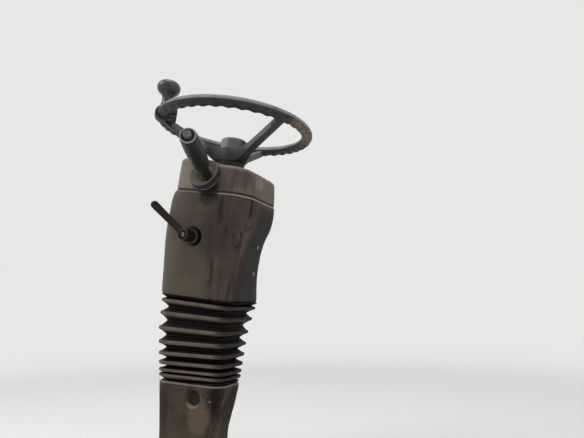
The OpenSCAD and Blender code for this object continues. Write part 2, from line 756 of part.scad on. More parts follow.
base_plate();
post();
pivot_pins();
lower_shaft();
foot_cover();
bellows();
column_jacket();
main_housing();
top_cover();
switch_socket();
stalk_rod();
stalk_grip();
stalk_button();
lever_hub();
lever_grip();
steering_shaft();
wheel_rim();
wheel_spider();
hub_cap();
knob_clamp();
knob_stud();
spinner_knob();
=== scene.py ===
"""Looks of a tilting steering column with its wheel: shells, bellows, grips, finishes and stage.

All lengths in the tables are millimetres. A point on the column is given by x, by y forward of the
column's axis, and by its height along that axis above the tilt pivot.
"""
from math import atan, atan2, ceil, cos, degrees, hypot, pi, radians, sin, sqrt, tan

import bmesh
import bpy
import numpy as np
from mathutils import Matrix, Vector


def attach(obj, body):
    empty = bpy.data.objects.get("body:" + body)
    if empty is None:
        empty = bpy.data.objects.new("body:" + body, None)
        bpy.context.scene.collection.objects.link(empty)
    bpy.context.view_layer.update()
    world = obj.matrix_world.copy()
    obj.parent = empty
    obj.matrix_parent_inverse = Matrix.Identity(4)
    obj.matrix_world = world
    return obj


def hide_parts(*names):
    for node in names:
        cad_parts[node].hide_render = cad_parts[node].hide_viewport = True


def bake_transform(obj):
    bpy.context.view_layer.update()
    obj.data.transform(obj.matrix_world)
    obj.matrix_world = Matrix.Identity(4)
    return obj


bl_info = {
    "name": "Steering Column",
    "version": (1, 0, 0),
    "blender": (4, 5, 0),
    "location": "3D View > Sidebar > Column",
    "description": "Builds the shells, bellows, wheel, levers and finishes of a steering column",
    "category": "Object",
}

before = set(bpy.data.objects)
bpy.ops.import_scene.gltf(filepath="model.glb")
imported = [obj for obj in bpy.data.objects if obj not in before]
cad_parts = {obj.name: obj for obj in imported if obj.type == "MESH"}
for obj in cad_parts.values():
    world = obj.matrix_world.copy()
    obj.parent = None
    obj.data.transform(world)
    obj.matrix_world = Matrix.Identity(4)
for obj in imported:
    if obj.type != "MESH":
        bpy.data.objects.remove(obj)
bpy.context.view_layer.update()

MM = 0.001
FLOOR_TO_PIVOT = 328.6
AXIS_Y = -36.0
LEAN = radians(8.2)
COLUMN_UP = (0, -sin(LEAN), cos(LEAN))


def shift(x, y, z):
    return Matrix.Translation(Vector((x, y, z)) * MM)


def turn(angle, axis):
    return Matrix.Rotation(radians(angle), 4, axis)


# Heights along the column. Radii of the rim, of its round section and of the hub. The knob's angle, how far
# inside the rim's middle line it stands, and its height. How steeply the split and the foot's top rise forward
# and the spokes outward. Heights of the lever and of the foot's recess. The shells' wall, and the bellows' gap
SPLIT, COVER_TOP, HUB_LOW, HUB_TOP, RIM_HEIGHT = 312.0, 381.0, 389.0, 431.5, 488.0
RIM_RADIUS, RIM_R, HUB_R = 176.25, 13.25, 34.0
KNOB_ANGLE, KNOB_IN, KNOB_LOW = 133.0, 5.0, RIM_R + 9.3
SPLIT_RISE, FOOT_RISE, SPOKE_RISE = 0.042, 0.055, 0.48
LEVER_HEIGHT, RECESS_HEIGHT = 208.0, 188.0
WALL, SEAT = 3.2, 0.2

# Places, as matrices into the frame: the foot's axis, the column, the wheel's middle, the knob,
# the stalk and its dish (Z runs out along them) and the tilt lever (Z points to the left)
FOOT = shift(0, AXIS_Y, 0)
COLUMN = shift(0, AXIS_Y, FLOOR_TO_PIVOT) @ Matrix.Rotation(LEAN, 4, "X")
WHEEL = COLUMN @ shift(0, 0, RIM_HEIGHT)
KNOB = WHEEL @ turn(KNOB_ANGLE, "Z") @ shift(RIM_RADIUS - KNOB_IN, 0, 0)
STALK = COLUMN @ shift(-95, 0.4, SPLIT + 37) @ turn(201.9, "Z") @ turn(79.9, "Y")
DISH = COLUMN @ shift(-84.04, 4.80, 346.90) @ turn(180, "Z") @ turn(70, "Y")
LEVER = COLUMN @ shift(0, 19, LEVER_HEIGHT) @ turn(-90, "Y")
SPOKE_ANGLES = (6.0, 126.0, 246.0)

# Sections of the moulded shells: height, rise towards the front, half width, front, rear, corner
HOUSING_ROWS = [
    (75, 0, 74.4, 100.8, -82.8, 29), (75.5, 0, 76.0, 102.3, -84.3, 30), (77, 0, 77.4, 103.6, -85.5, 32),
    (80, 0, 78.3, 104.7, -85.7, 33), (109, 0, 79.8, 107.6, -82.0, 34), (146, 0, 81.6, 110.8, -79.4, 36),
    (180, 0, 83.4, 113.6, -80.4, 37), (211, 0, 85.0, 115.8, -85.0, 39), (232, 0, 86.2, 116.2, -92.0, 41),
    (249, 0.008, 87.2, 115.6, -98.5, 42), (270, 0.016, 88.2, 114.0, -102.6, 43),
    (288, 0.028, 89.0, 112.4, -103.9, 44), (302, 0.038, 89.6, 109.6, -103.6, 45),
    (309, 0.042, 89.2, 106.4, -102.6, 45), (312, 0.042, 87.4, 103.4, -101.0, 43)]
COVER_ROWS = [
    (312.2, 0.042, 86.6, 101.2, -100.2, 43), (315.2, 0.046, 88.4, 102.2, -101.6, 44),
    (342.2, 0.092, 87.4, 102.0, -100.0, 43), (367.0, 0.12, 86.2, 101.0, -97.6, 42)]
COVER_SLOPE, COVER_EDGE = 0.12, 14.0
FOOT_ROWS = [
    (8.2, 0, 53.4, 104.4, -28.0, 26), (40, 0, 52.8, 104.0, -29.5, 26), (107, 0, 51.0, 104.9, -35.0, 27),
    (140, 0, 50.1, 107.0, -44.0, 28), (163, 0, 49.6, 108.4, -52.0, 28), (190, 0, 49.3, 110.0, -59.6, 28),
    (213.2, 0.055, 49.2, 111.0, -63.8, 28), (215.7, 0.055, 48.7, 110.6, -63.6, 28),
    (217.2, 0.055, 47.2, 109.2, -62.2, 27)]

# Bellows: rise between pleats in shares of the whole, share of the lean that each has taken up,
# and the crest sections at both ends
PLEAT_STEPS = (13, 11.6, 16.2, 20.6, 24.4, 28.3, 31.5, 26.8, 12.8)
PLEAT_LEAN = (0.385, 0.36, 0.33, 0.33, 0.34, 0.39, 0.63, 0.78, 0.95, 1)
BELLOWS_LOW, BELLOWS_HIGH = (50.0, 112.8, -66.6, 29), (76.5, 104.5, -89.0, 33)
FOOT_TOP, HOUSING_BOTTOM = 217.2, 75.0


# Meshes

def add_object(name, data):
    obj = bpy.data.objects.new(name, data)
    bpy.context.collection.objects.link(obj)
    return obj


def link(name, mesh, crease=38.0):
    """An object whose faces shade smoothly up to an angle between them, in degrees"""
    mesh.shade_smooth()
    mesh.set_sharp_from_angle(angle=radians(crease))
    return add_object(name, mesh)


def add_mesh(name, points, faces, place, look, crease=38.0, crests=None):
    """A mesh object at the origin, its points in millimetres moved to their place. Marked points aren't merged"""
    mesh = bpy.data.meshes.new(name)
    mesh.from_pydata([Vector(p) * MM for p in points], [], faces)
    mesh.transform(place)
    if crests:
        mesh.attributes.new("crest", "FLOAT", "POINT").data.foreach_set("value", crests)
    bm = bmesh.new()
    bm.from_mesh(mesh)
    if not crests:
        bmesh.ops.remove_doubles(bm, verts=bm.verts, dist=1e-6)
        bmesh.ops.dissolve_degenerate(bm, edges=bm.edges, dist=1e-7)
    bmesh.ops.recalc_face_normals(bm, faces=bm.faces)
    bm.to_mesh(mesh)
    bm.free()
    mesh.materials.append(finish(look))
    return link(name, mesh, crease)


def gathered(name, meshes, look):
    """One object out of several meshes"""
    bm = bmesh.new()
    for mesh in meshes:
        bm.from_mesh(mesh)
    whole = bpy.data.meshes.new(name)
    bm.to_mesh(whole)
    bm.free()
    whole.materials.append(finish(look))
    return link(name, whole)


def merged(name, parts):
    """One object out of several, in the first one's finish"""
    obj = gathered(name, [part.data for part in parts], parts[0].data.materials[0].name)
    for part in parts:
        bpy.data.objects.remove(part)
    return obj


def around(steps):
    """Angles all the way round"""
    return np.linspace(0, 2 * pi, steps, endpoint=False)


def skin(rings, wrap_rings=False):
    """Points and faces over closed rings of equal length, joined end to end or capped"""
    m, n = len(rings[0]), len(rings)
    points = [p for ring in rings for p in ring]
    faces = []
    for j in range(n if wrap_rings else n - 1):
        a, b = j * m, (j + 1) % n * m
        faces += [(a + i, a + (i + 1) % m, b + (i + 1) % m, b + i) for i in range(m)]
    if not wrap_rings:
        faces.append(tuple(reversed(range(m))))
        faces.append(tuple(range((n - 1) * m, n * m)))
    return points, faces


def lathe(profile, steps=64):
    """A turned solid: a profile of (radius, height) pairs that starts and ends on the axis or closes on itself"""
    on_axis = profile[0][0] == 0 and profile[-1][0] == 0
    body = profile[1:-1] if on_axis else profile
    rings = [[(r * cos(t), r * sin(t), z) for t in around(steps)] for r, z in body]
    if not on_axis:
        return skin(rings, wrap_rings=True)
    points, faces = skin(rings)
    faces = faces[:-2]
    for end, start in ((profile[0], 0), (profile[-1], (len(body) - 1) * steps)):
        points.append((0, 0, end[1]))
        faces += [(start + i, start + (i + 1) % steps, len(points) - 1) for i in range(steps)]
    return points, faces


def eased(profile, radius=0.8, steps=3):
    """The same profile with its inner corners rounded"""
    out = [profile[0]]
    for before, here, after in zip(profile, profile[1:], profile[2:]):
        a, p, b = (Vector(q) for q in (before, here, after))
        reach = min(radius, (a - p).length * 0.45, (b - p).length * 0.45)
        start, end = p + (a - p).normalized() * reach, p + (b - p).normalized() * reach
        for k in range(steps + 1):
            t = k / steps
            q = start * (1 - t) ** 2 + p * 2 * t * (1 - t) + end * t ** 2
            out.append((q.x, q.y))
    return out + [profile[-1]]


def rounded_box(width, front, rear, corner, corner_n=10, side_n=8):
    """Points of a rounded rectangle, counter-clockwise, with points along its straight sides"""
    arcs = []
    for q, (sx, fy) in enumerate(((1, front), (-1, front), (-1, rear), (1, rear))):
        cx, cy = sx * (width - corner), fy - corner if q < 2 else fy + corner
        arcs.append([(cx + corner * cos(a), cy + corner * sin(a))
                     for a in np.linspace(q * pi / 2, (q + 1) * pi / 2, corner_n + 1)])
    out = []
    for q, arc in enumerate(arcs):
        out += arc
        p, n = Vector(arc[-1]), Vector(arcs[(q + 1) % 4][0])
        out += [tuple(p.lerp(n, k / side_n)) for k in range(1, side_n)]
    return out


def section(row, inset=0.0, lift=0.0):
    h, rise, width, front, rear, corner = row
    return [(x, y, h + lift + rise * y)
            for x, y in rounded_box(width - inset, front - inset, rear + inset, max(corner - inset, 4))]


def fair_rows(rows, step=5.0):
    """The same table with rows between, on curves that pass each row without overshooting it"""
    table = np.array(rows, float)
    h, v = table[:, 0], table[:, 1:]
    d = np.diff(v, axis=0) / np.diff(h)[:, None]
    m = np.zeros_like(v)
    m[0], m[-1] = d[0], d[-1]
    same = d[:-1] * d[1:] > 0
    with np.errstate(divide="ignore", invalid="ignore"):
        m[1:-1] = np.where(same, 2 * d[:-1] * d[1:] / (d[:-1] + d[1:]), 0)
    out = []
    for i in range(len(h) - 1):
        gap = h[i + 1] - h[i]
        for t in np.arange(0, 1, 1 / max(1, ceil(gap / step))):
            a, b = (1 + 2 * t) * (1 - t) ** 2, t * t * (3 - 2 * t)
            c, e = t * (1 - t) ** 2, t * t * (t - 1)
            out.append((h[i] + t * gap, *(a * v[i] + b * v[i + 1] + gap * (c * m[i] + e * m[i + 1]))))
    return out + [tuple(table[-1])]


def shell(rows):
    """A closed tube wall: the outer skin up, the inner skin down"""
    fine = fair_rows(rows)
    return skin([section(r) for r in fine] + [section(r, WALL) for r in reversed(fine)], wrap_rings=True)


def plain(obj):
    """What an object's modifiers make of it, as a plain mesh"""
    return bpy.data.meshes.new_from_object(obj.evaluated_get(bpy.context.evaluated_depsgraph_get()))


def cut(obj, points, faces, place):
    """Takes a closed form out of a piece"""
    tool = add_mesh("cutter", points, faces, place, obj.data.materials[0].name)
    mod = obj.modifiers.new("cut", "BOOLEAN")
    mod.object, mod.operation, mod.solver = tool, "DIFFERENCE", "EXACT"
    mesh = plain(obj)
    obj.modifiers.clear()
    obj.data = mesh
    mesh.shade_smooth()
    mesh.set_sharp_from_angle(angle=radians(38))
    bpy.data.objects.remove(tool)


def paint(obj, place, look, holds):
    """Gives a piece's faces another finish where their middle's radius and height, in millimetres, and the upward
    share of their normal say so"""
    obj.data.materials.append(finish(look))
    index, back = len(obj.data.materials) - 1, place.inverted()
    for face in obj.data.polygons:
        p = back @ face.center / MM
        if holds(hypot(p.x, p.y), p.z, (back.to_3x3() @ face.normal).z):
            face.material_index = index


def settle(obj, body, slot, *nodes):
    """Puts a finished piece on its body, with the nodes it stands for hidden. The slot it answers to is not used"""
    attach(obj, body)
    if nodes:
        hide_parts(*nodes)


def piece(name, form, place, look, body, slot, *nodes, crease=38.0):
    """A finished piece out of its points and faces"""
    settle(add_mesh(name, *form, place, look, crease), body, slot, *nodes)


# Finishes

class Shade:
    """A material's or a world's nodes, with short calls for the ones that the finishes use"""

    def __init__(self, owner):
        self.owner = bpy.data.materials.new(owner) if isinstance(owner, str) else owner
        self.owner.use_nodes = True
        self.nodes, self.links = self.owner.node_tree.nodes, self.owner.node_tree.links

    def node(self, kind, **options):
        n = self.nodes.new("ShaderNode" + kind)
        for key, value in options.items():
            setattr(n, key, value)
        return n

    def join(self, socket, value):
        if isinstance(value, bpy.types.NodeSocket):
            self.links.new(value, socket)
        else:
            socket.default_value = (*value, 1.0) if socket.type == "RGBA" else value

    def fed(self, kind, *values, out=0, **options):
        """A node's output, its first inputs given in their order"""
        n = self.node(kind, **options)
        for socket, value in zip(n.inputs, values):
            self.join(socket, value)
        return n.outputs[out]

    def texture(self, kind, vector, out, **inputs):
        n = self.node("Tex" + kind)
        for key, value in dict(inputs, Vector=vector).items():
            self.join(n.inputs[key], value)
        return n.outputs[out]

    def within(self, place=None):
        """Coordinates in metres, from the point that the matrix puts at the origin and along its axes"""
        at = self.node("TexCoord").outputs["Object"]
        if place is None:
            return at
        back = place.inverted()
        return self.fed("Mapping", at, back.to_translation(), back.to_euler("XYZ"))

    def stretched(self, vector, *by):
        return self.fed("VectorMath", vector, by, operation="MULTIPLY")

    def tall(self, vector, share):
        """Coordinates that draw a pattern out upwards"""
        return self.stretched(vector, 1, 1, share)

    def noise(self, vector, scale, detail=4.0, rough=0.55, bent=0.0):
        return self.texture("Noise", vector, 0, Scale=scale, Detail=detail, Roughness=rough, Distortion=bent)

    def cells(self, vector, scale):
        return self.texture("Voronoi", vector, "Distance", Scale=scale)

    def math(self, operation, *values):
        return self.fed("Math", *values, operation=operation)

    def times(self, a, b):
        return self.math("MULTIPLY", a, b)

    def plus(self, a, b):
        return self.math("ADD", a, b)

    def band(self, value, low, high, to_low=0.0, to_high=1.0):
        """A smooth step from one value to another as the first runs from low to high"""
        return self.fed("MapRange", value, low, high, to_low, to_high, interpolation_type="SMOOTHSTEP")

    def axes(self, vector):
        n = self.node("SeparateXYZ")
        self.join(n.inputs[0], vector)
        return n.outputs

    def mix(self, share, a, b):
        n = self.node("Mix", data_type="RGBA")
        for key, value in (("Factor", share), (6, a), (7, b)):
            self.join(n.inputs[key], value)
        return n.outputs[2]

    def mottled(self, share, colour, by):
        """A colour that turns into a lighter or darker one where the share says"""
        return self.mix(share, colour, tuple(c * by for c in colour))

    def facing(self, axis):
        """How far the surface faces along an axis: 0 upright to it, 1 square to it"""
        return self.fed("VectorMath", self.node("NewGeometry").outputs["Normal"], axis, out="Value",
                        operation="DOT_PRODUCT")

    def edge(self, low=0.56, high=0.66):
        """Worn edges, where the surface is sharply convex"""
        return self.band(self.node("NewGeometry").outputs["Pointiness"], low, high)

    def seen(self):
        """1 for what the camera sees, also in metal and through glass, and 0 for light on the object"""
        path = self.node("LightPath").outputs
        return self.math("MAXIMUM", path["Is Camera Ray"],
                         self.math("MAXIMUM", path["Is Glossy Ray"], path["Is Transmission Ray"]))

    def laid(self, base, share, amount, colour):
        """A colour laid over another where the share says, no stronger than the amount"""
        return self.mix(self.times(share, amount), base, linear(*colour))

    def spots(self, base, at, rows, ragged=0.8, grain=60):
        """Ragged spots laid over a colour: middle and reach in millimetres, amount, colour"""
        wander = self.times(self.noise(at, grain, 4, 0.65), ragged)
        for middle, reach, amount, colour in rows:
            off = self.fed("VectorMath", at, Vector(middle) * MM, operation="SUBTRACT")
            away = self.fed("VectorMath", self.stretched(off, *(1 / (r * MM) for r in reach)), out="Value",
                            operation="LENGTH")
            far = self.plus(away, wander)
            base = self.laid(base, self.band(far, 1.0 + ragged / 2, 0.55 + ragged / 2), amount, colour)
        return base

    def finish(self, colour, roughness, height=None, depth=0.1, **inputs):
        """The surface, with its grain's depth in millimetres, and further inputs named with _ for a space"""
        if height is not None:
            bump = self.node("Bump")
            for key, value in (("Strength", 1.0), ("Distance", depth * MM), ("Height", height)):
                self.join(bump.inputs[key], value)
            inputs["Normal"] = bump.outputs[0]
        for key, value in dict(inputs, Base_Color=colour, Roughness=roughness).items():
            self.join(self.nodes["Principled BSDF"].inputs[key.replace("_", " ")], value)
        return self.owner

    def shown(self, end, share, first, second):
        """Gives an output one shader or another, by a share"""
        self.join(self.nodes[end].inputs["Surface"], self.fed("MixShader", share, first, second))


def linear(r, g, b):
    """A colour as a screen shows it, 0 to 255, in the renderer's own terms"""
    return tuple(((c / 255 + 0.055) / 1.055) ** 2.4 if c > 10 else c / 255 / 12.92 for c in (r, g, b))


# Spots on the housing: darker and redder on its left side towards the rear, a painted shadow of the stalk's dish with
# grease under it, a painted highlight along its front, and paler dust low down
HOUSING_SPOTS = [
    ((-86, -44, 226), (46, 56, 76), 0.75, (56, 46, 44)), ((-88, -10, 306), (25, 34, 34), 0.8, (33, 31, 31)),
    ((-88, 74, 200), (24, 46, 120), 0.45, (90, 82, 72)), ((-80, 10, 96), (30, 120, 30), 0.3, (92, 84, 73))]
# Streaks round the housing's rear corner, then once more a painted shadow of the stalk's dish where the split runs
# under it
STREAKS_AND_DISH_SHADOW = [((-46, -96, 252), (12, 18, 15), 0.7, (84, 74, 73)), ((-36, -84, 212), (10, 16, 42), 0.65, (88, 75, 74)),
           ((-60, -70, 280), (26, 22, 20), 0.45, (88, 77, 73)), ((-88, -14, 313), (22, 34, 19), 0.95, (24, 24, 25))]
# Spots on the cover: darker on its left side and at its rear corner, painted highlights on its rear face and along
# its front, and a painted shadow of the stalk's dish
COVER_SPOTS = [
    ((-87, -40, 342), (24, 56, 40), 0.6, (82, 69, 66)), ((-66, -84, 342), (30, 24, 30), 0.5, (82, 70, 67)),
    ((-24, -98, 347), (24, 16, 20), 0.85, (134, 122, 114)), ((-88, 66, 340), (26, 44, 40), 0.5, (134, 123, 108)),
    ((-87, -8, 322), (22, 34, 20), 0.95, (27, 27, 28))]
FOOT_SPOTS = [
    ((-50, -10, 150), (20, 34, 46), 0.75, (98, 84, 73)), ((-50, 88, 160), (16, 22, 70), 0.6, (42, 38, 32)),
    ((-47, -50, 180), (16, 18, 46), 0.85, (29, 25, 22)), ((-48, -37, 184), (10, 5, 3), 0.7, (112, 102, 90))]


def housing_finish(name, colour, grime, spots, late, painted_highlight_and_rust_bloom):
    """Grained warm grey moulding: a painted highlight towards its front, dark drips round its rear corner"""
    s = Shade(name)
    at = s.within(COLUMN)
    x, y, h = s.axes(at)
    level = s.math("SUBTRACT", h, s.times(y, SPLIT_RISE))
    fine = s.noise(at, 160, 4, 0.65)
    base = s.mottled(s.band(s.noise(at, 14, 5, 0.6), 0.3, 0.72), colour, 0.8)
    # A painted highlight towards the front
    base = s.laid(base, s.band(y, 0.035, 0.115), 0.6, painted_highlight_and_rust_bloom)
    base = s.spots(base, at, spots)
    # Drips run down the column, close together round the rear corner
    lanes = s.noise(s.tall(at, 0.1), 95, 3, 0.6, 0.6)
    reach = s.noise(s.tall(at, 0.35), 26, 3, 0.5)
    corner = s.times(s.band(y, -0.012, -0.05), s.band(x, 0.0, -0.03))
    drip = s.times(s.band(lanes, 0.5, 0.6), s.band(reach, 0.36, 0.54))
    base = s.laid(base, corner, grime * 0.6, (64, 51, 50))
    base = s.laid(base, s.times(drip, corner), grime, (36, 24, 26))
    pale = s.band(s.noise(s.tall(at, 0.16), 60, 4, 0.6), 0.58, 0.7)
    base = s.laid(base, s.times(pale, corner), 0.4, (106, 91, 88))
    # The rear face is blackened, wider towards its foot
    beyond = s.math("SUBTRACT", x, s.band(h, 0.2, 0.09, -0.014, -0.05))
    ragged = s.noise(s.tall(at, 0.3), 44, 5, 0.65)
    turned = s.math("MULTIPLY_ADD", ragged, 0.9, s.facing((0, -1, 0)))
    smear = s.times(s.band(beyond, -0.016, 0.01), s.band(turned, 0.85, 1.3))
    smear = s.times(smear, s.band(s.noise(at, 34, 5, 0.7), 0.3, 0.55, 0.72, 1.0))
    smear = s.times(smear, s.band(level, 0.306, 0.292))
    base = s.laid(base, smear, grime, (27, 28, 25))
    # A painted highlight on the lip below the split, strongest at the rear, and a reddish painted shade in the split
    # and on the cover's edge just above it
    lip = s.times(s.band(level, 0.3068, 0.3082), s.band(level, 0.3108, 0.3098))
    base = s.laid(base, s.times(lip, s.band(y, 0.06, -0.06, 0.35, 1.0)), 0.85, (156, 146, 136))
    painted_seam_shade = s.times(s.band(level, 0.3098, 0.3112), s.band(level, 0.317, 0.3145))
    base = s.spots(s.laid(base, painted_seam_shade, 0.85, (42, 30, 29)), at, late, 1.4, 40)
    base = s.laid(base, s.band(s.noise(at, 420, 2, 0.7), 0.68, 0.78), 0.3, (140, 132, 122))
    # A painted highlight on what faces up, such as the cover's shoulder, together with lighter worn edges
    up = s.band(s.facing(COLUMN_UP), 0.15, 0.9)
    base = s.laid(base, s.math("MAXIMUM", up, s.edge()), 0.5, (148, 139, 128))
    rough = s.band(s.plus(smear, s.times(fine, 0.3)), 0.1, 0.9, 0.62, 0.5)
    grain = s.plus(s.cells(at, 900), s.times(s.noise(at, 60, 4), 0.8))
    return s.finish(base, rough, grain, 0.16, Specular_IOR_Level=0.1)


def foot_finish(colour):
    """The foot's moulding, kicked and scratched, with dust on it"""
    s = Shade("foot_grey")
    at = s.within(FOOT)
    x, y, h = s.axes(at)
    base = s.mottled(s.band(s.noise(at, 22, 5, 0.65), 0.35, 0.68), colour, 0.72)
    dust = s.band(s.noise(s.tall(at, 0.5), 34, 6, 0.7), 0.52, 0.7)
    base = s.laid(base, dust, 0.4, (98, 88, 76))
    rear = s.band(y, -0.01, -0.05)
    dark = s.band(s.noise(s.tall(at, 0.3), 30, 4, 0.6, 0.8), 0.36, 0.52)
    base = s.laid(base, s.times(dark, rear), 0.75, (32, 28, 26))
    base = s.spots(base, at, FOOT_SPOTS)
    lines = s.noise(s.tall(at, 0.12), 130, 3, 0.7, 1.6)
    base = s.laid(base, s.times(s.band(lines, 0.62, 0.68), s.band(y, 0.02, -0.03)), 0.55, (128, 118, 108))
    level = s.math("SUBTRACT", h, s.times(y, FOOT_RISE))
    # A painted highlight along the top lip
    base = s.laid(base, s.band(level, 0.2125, 0.2145), 0.6, (124, 114, 102))
    up = s.times(s.band(s.facing((0, 0, 1)), 0.15, 0.7), s.band(h, 0.05, 0.1))
    base = s.laid(base, s.math("MAXIMUM", up, s.edge()), 0.6, (136, 124, 112))
    base = s.laid(base, s.band(h, 0.15, 0.05), 0.5, (92, 82, 70))
    grain = s.plus(s.cells(at, 700), s.times(lines, 0.7))
    return s.finish(base, s.band(dust, 0, 1, 0.55, 0.8), grain, 0.2, Specular_IOR_Level=0.05)


def bellows_finish(colour, dust_colour):
    """Black rubber, with brown dust and a painted highlight that lie on each crest and thin out below it, less of
    both at the rear
    """
    s = Shade("bellows_black")
    at = s.within()
    crest = s.node("Attribute", attribute_name="crest").outputs["Fac"]
    patch = s.noise(at, 30, 5, 0.6)
    lane = s.noise(s.tall(at, 0.5), 90, 4, 0.6)
    dust = s.times(s.band(crest, 0.05, 0.95), s.band(patch, 0.25, 0.6, 0.6, 1.0))
    dust = s.times(dust, s.band(s.facing((0, -1, 0)), -0.2, 0.8, 1.0, 0.15))
    base = s.mottled(s.band(lane, 0.4, 0.7), colour, 1.5)
    base = s.mix(dust, base, dust_colour)
    grain = s.plus(s.noise(at, 400, 3, 0.6), s.times(patch, 0.6))
    return s.finish(base, s.band(dust, 0, 1, 0.55, 0.8), grain, 0.12, Specular_IOR_Level=0.12)


def plastic_finish(name, place, colour, wear, wear_colour, roughness=0.42, dust=0.15, spots=(), shine=0.35):
    """Satin black plastic, rubbed at its edges and with dust on what faces up"""
    s = Shade(name)
    at = s.within(place)
    cloud = s.noise(at, 40, 5, 0.6)
    base = s.mottled(s.band(cloud, 0.35, 0.7), colour, 1.35)
    rub = s.times(s.edge(), s.band(s.noise(at, 120, 4, 0.7), 0.35, 0.6, 0.3, 1.0))
    base = s.laid(base, rub, wear, wear_colour)
    up = s.times(s.band(s.facing((0, 0, 1)), 0.3, 1.0), s.band(cloud, 0.4, 0.65))
    base = s.spots(s.laid(base, up, dust, (104, 98, 90)), at, spots)
    rough = s.band(cloud, 0.3, 0.7, roughness - 0.06, roughness + 0.14)
    grain = s.plus(s.noise(at, 700, 2, 0.6), s.times(cloud, 0.5))
    return s.finish(base, rough, grain, 0.06, Specular_IOR_Level=shine)


def wheel_finish(name, colour, skin_worn, spots=(), dust=0.25, reach=0.0):
    """Black skin of the wheel: dull, with a place at its rear worn through to a brown grey"""
    s = Shade(name)
    at = s.within(WHEEL)
    x, y, h = s.axes(at)
    cloud = s.noise(at, 30, 5, 0.65)
    base = s.mottled(s.band(cloud, 0.35, 0.7), colour, 1.5)
    # The middle of the worn place is 80 degrees rearwards of the vehicle's right
    away = s.math("ABSOLUTE", s.plus(s.math("ARCTAN2", y, x), radians(80)))
    worn = s.times(s.band(away, 0.56, 0.3), s.band(s.noise(at, 75, 6, 0.75), 0.36, 0.54))
    worn = s.times(worn, skin_worn)
    under = s.mix(s.band(s.noise(at, 260, 4, 0.8), 0.42, 0.62), linear(88, 77, 66), linear(150, 134, 116))
    base = s.mix(worn, base, under)
    # A painted reflection with some dust on what faces up; reach carries it further round the rim's section
    up = s.times(s.band(s.facing(COLUMN_UP), -0.06 - reach, 0.5 - reach), s.band(cloud, 0.3, 0.6, 0.6, 1.0))
    base = s.spots(s.laid(base, up, dust, (142, 140, 138)), at, spots)
    base = s.laid(base, s.edge(0.57, 0.68), 0.35, (120, 114, 106))
    grain = s.plus(s.noise(at, 500, 3, 0.6), s.times(s.noise(at, 90, 5, 0.7), worn))
    rough = s.band(s.plus(worn, s.times(cloud, 0.3)), 0, 1, 0.5, 0.8)
    return s.finish(base, rough, grain, 0.14, Specular_IOR_Level=0.3)


def steel_finish(name, colour, rust):
    """Turned or welded steel, with rust that creeps out of its corners"""
    s = Shade(name)
    at = s.within()
    cloud = s.noise(at, 28, 6, 0.7)
    fine = s.noise(at, 240, 4, 0.6)
    base = s.mottled(s.band(fine, 0.3, 0.7), colour, 0.7)
    painted_highlight_and_rust_bloom = s.times(s.band(cloud, 0.52, 0.66), rust)
    base = s.mix(painted_highlight_and_rust_bloom, base, s.mix(s.band(fine, 0.4, 0.6), linear(92, 58, 38), linear(58, 40, 30)))
    metal = s.band(painted_highlight_and_rust_bloom, 0, 1, 0.9 if name != "dark_primer" else 0.15, 0.0)
    return s.finish(base, s.band(painted_highlight_and_rust_bloom, 0, 1, 0.38, 0.85), s.plus(fine, cloud), 0.08, Metallic=metal)


def finish(name):
    return bpy.data.materials[name]


# Pieces that repeat

def repeated(tree_name, look, **inputs):
    """A mesh from a Geometry Nodes tree whose inputs are given, with _ for a space in their names"""
    holder = add_object(tree_name, bpy.data.meshes.new(tree_name))
    mod = holder.modifiers.new("nodes", "NODES")
    mod.node_group = bpy.data.node_groups[tree_name]
    names = {item.name: item.identifier for item in mod.node_group.interface.items_tree if item.in_out == "INPUT"}
    for key, value in dict(inputs, Finish=finish(look)).items():
        mod[names[key.replace("_", " ")]] = value
    result = plain(holder)
    bpy.data.objects.remove(holder)
    return result


def make_tree(name, inputs, nodes, wires):
    """A Geometry Nodes tree that spreads something over points: its named inputs, its own nodes with their settings,
    and the wires between them. It ends in plain geometry with the finish that is given"""
    tree = bpy.data.node_groups.new(name, "GeometryNodeTree")
    tree.interface.new_socket(name="Geometry", in_out="OUTPUT", socket_type="NodeSocketGeometry")
    for title, kind in dict(inputs, Finish="Material").items():
        tree.interface.new_socket(name=title, in_out="INPUT", socket_type="NodeSocket" + kind)
    made = {}
    for key, kind, settings in nodes + [
            ("given", "NodeGroupInput", {}), ("spread", "GeometryNodeInstanceOnPoints", {}),
            ("real", "GeometryNodeRealizeInstances", {}), ("paint", "GeometryNodeSetMaterial", {}),
            ("out", "NodeGroupOutput", {})]:
        made[key] = tree.nodes.new(kind)
        for setting, value in settings.items():
            setattr(made[key], setting, value)
    for start, output, end, entry in wires + [
            ("spread", "Instances", "real", "Geometry"), ("real", "Geometry", "paint", "Geometry"),
            ("given", "Finish", "paint", "Material"), ("paint", "Geometry", "out", "Geometry")]:
        tree.links.new(made[start].outputs[output], made[end].inputs[entry])
    return made


def rib_row_tree():
    """A row of small upright ribs between two points"""
    make_tree("rib_row", {"Start": "Vector", "End": "Vector", "Turn": "Vector", "Rib Size": "Vector", "Count": "Int"},
              [("line", "GeometryNodeMeshLine", {"mode": "END_POINTS"}), ("cube", "GeometryNodeMeshCube", {})],
              [("given", "Count", "line", "Count"), ("given", "Start", "line", "Start Location"),
               ("given", "End", "line", "Offset"), ("given", "Rib Size", "cube", "Size"),
               ("line", "Mesh", "spread", "Points"), ("cube", "Mesh", "spread", "Instance"),
               ("given", "Turn", "spread", "Rotation")])


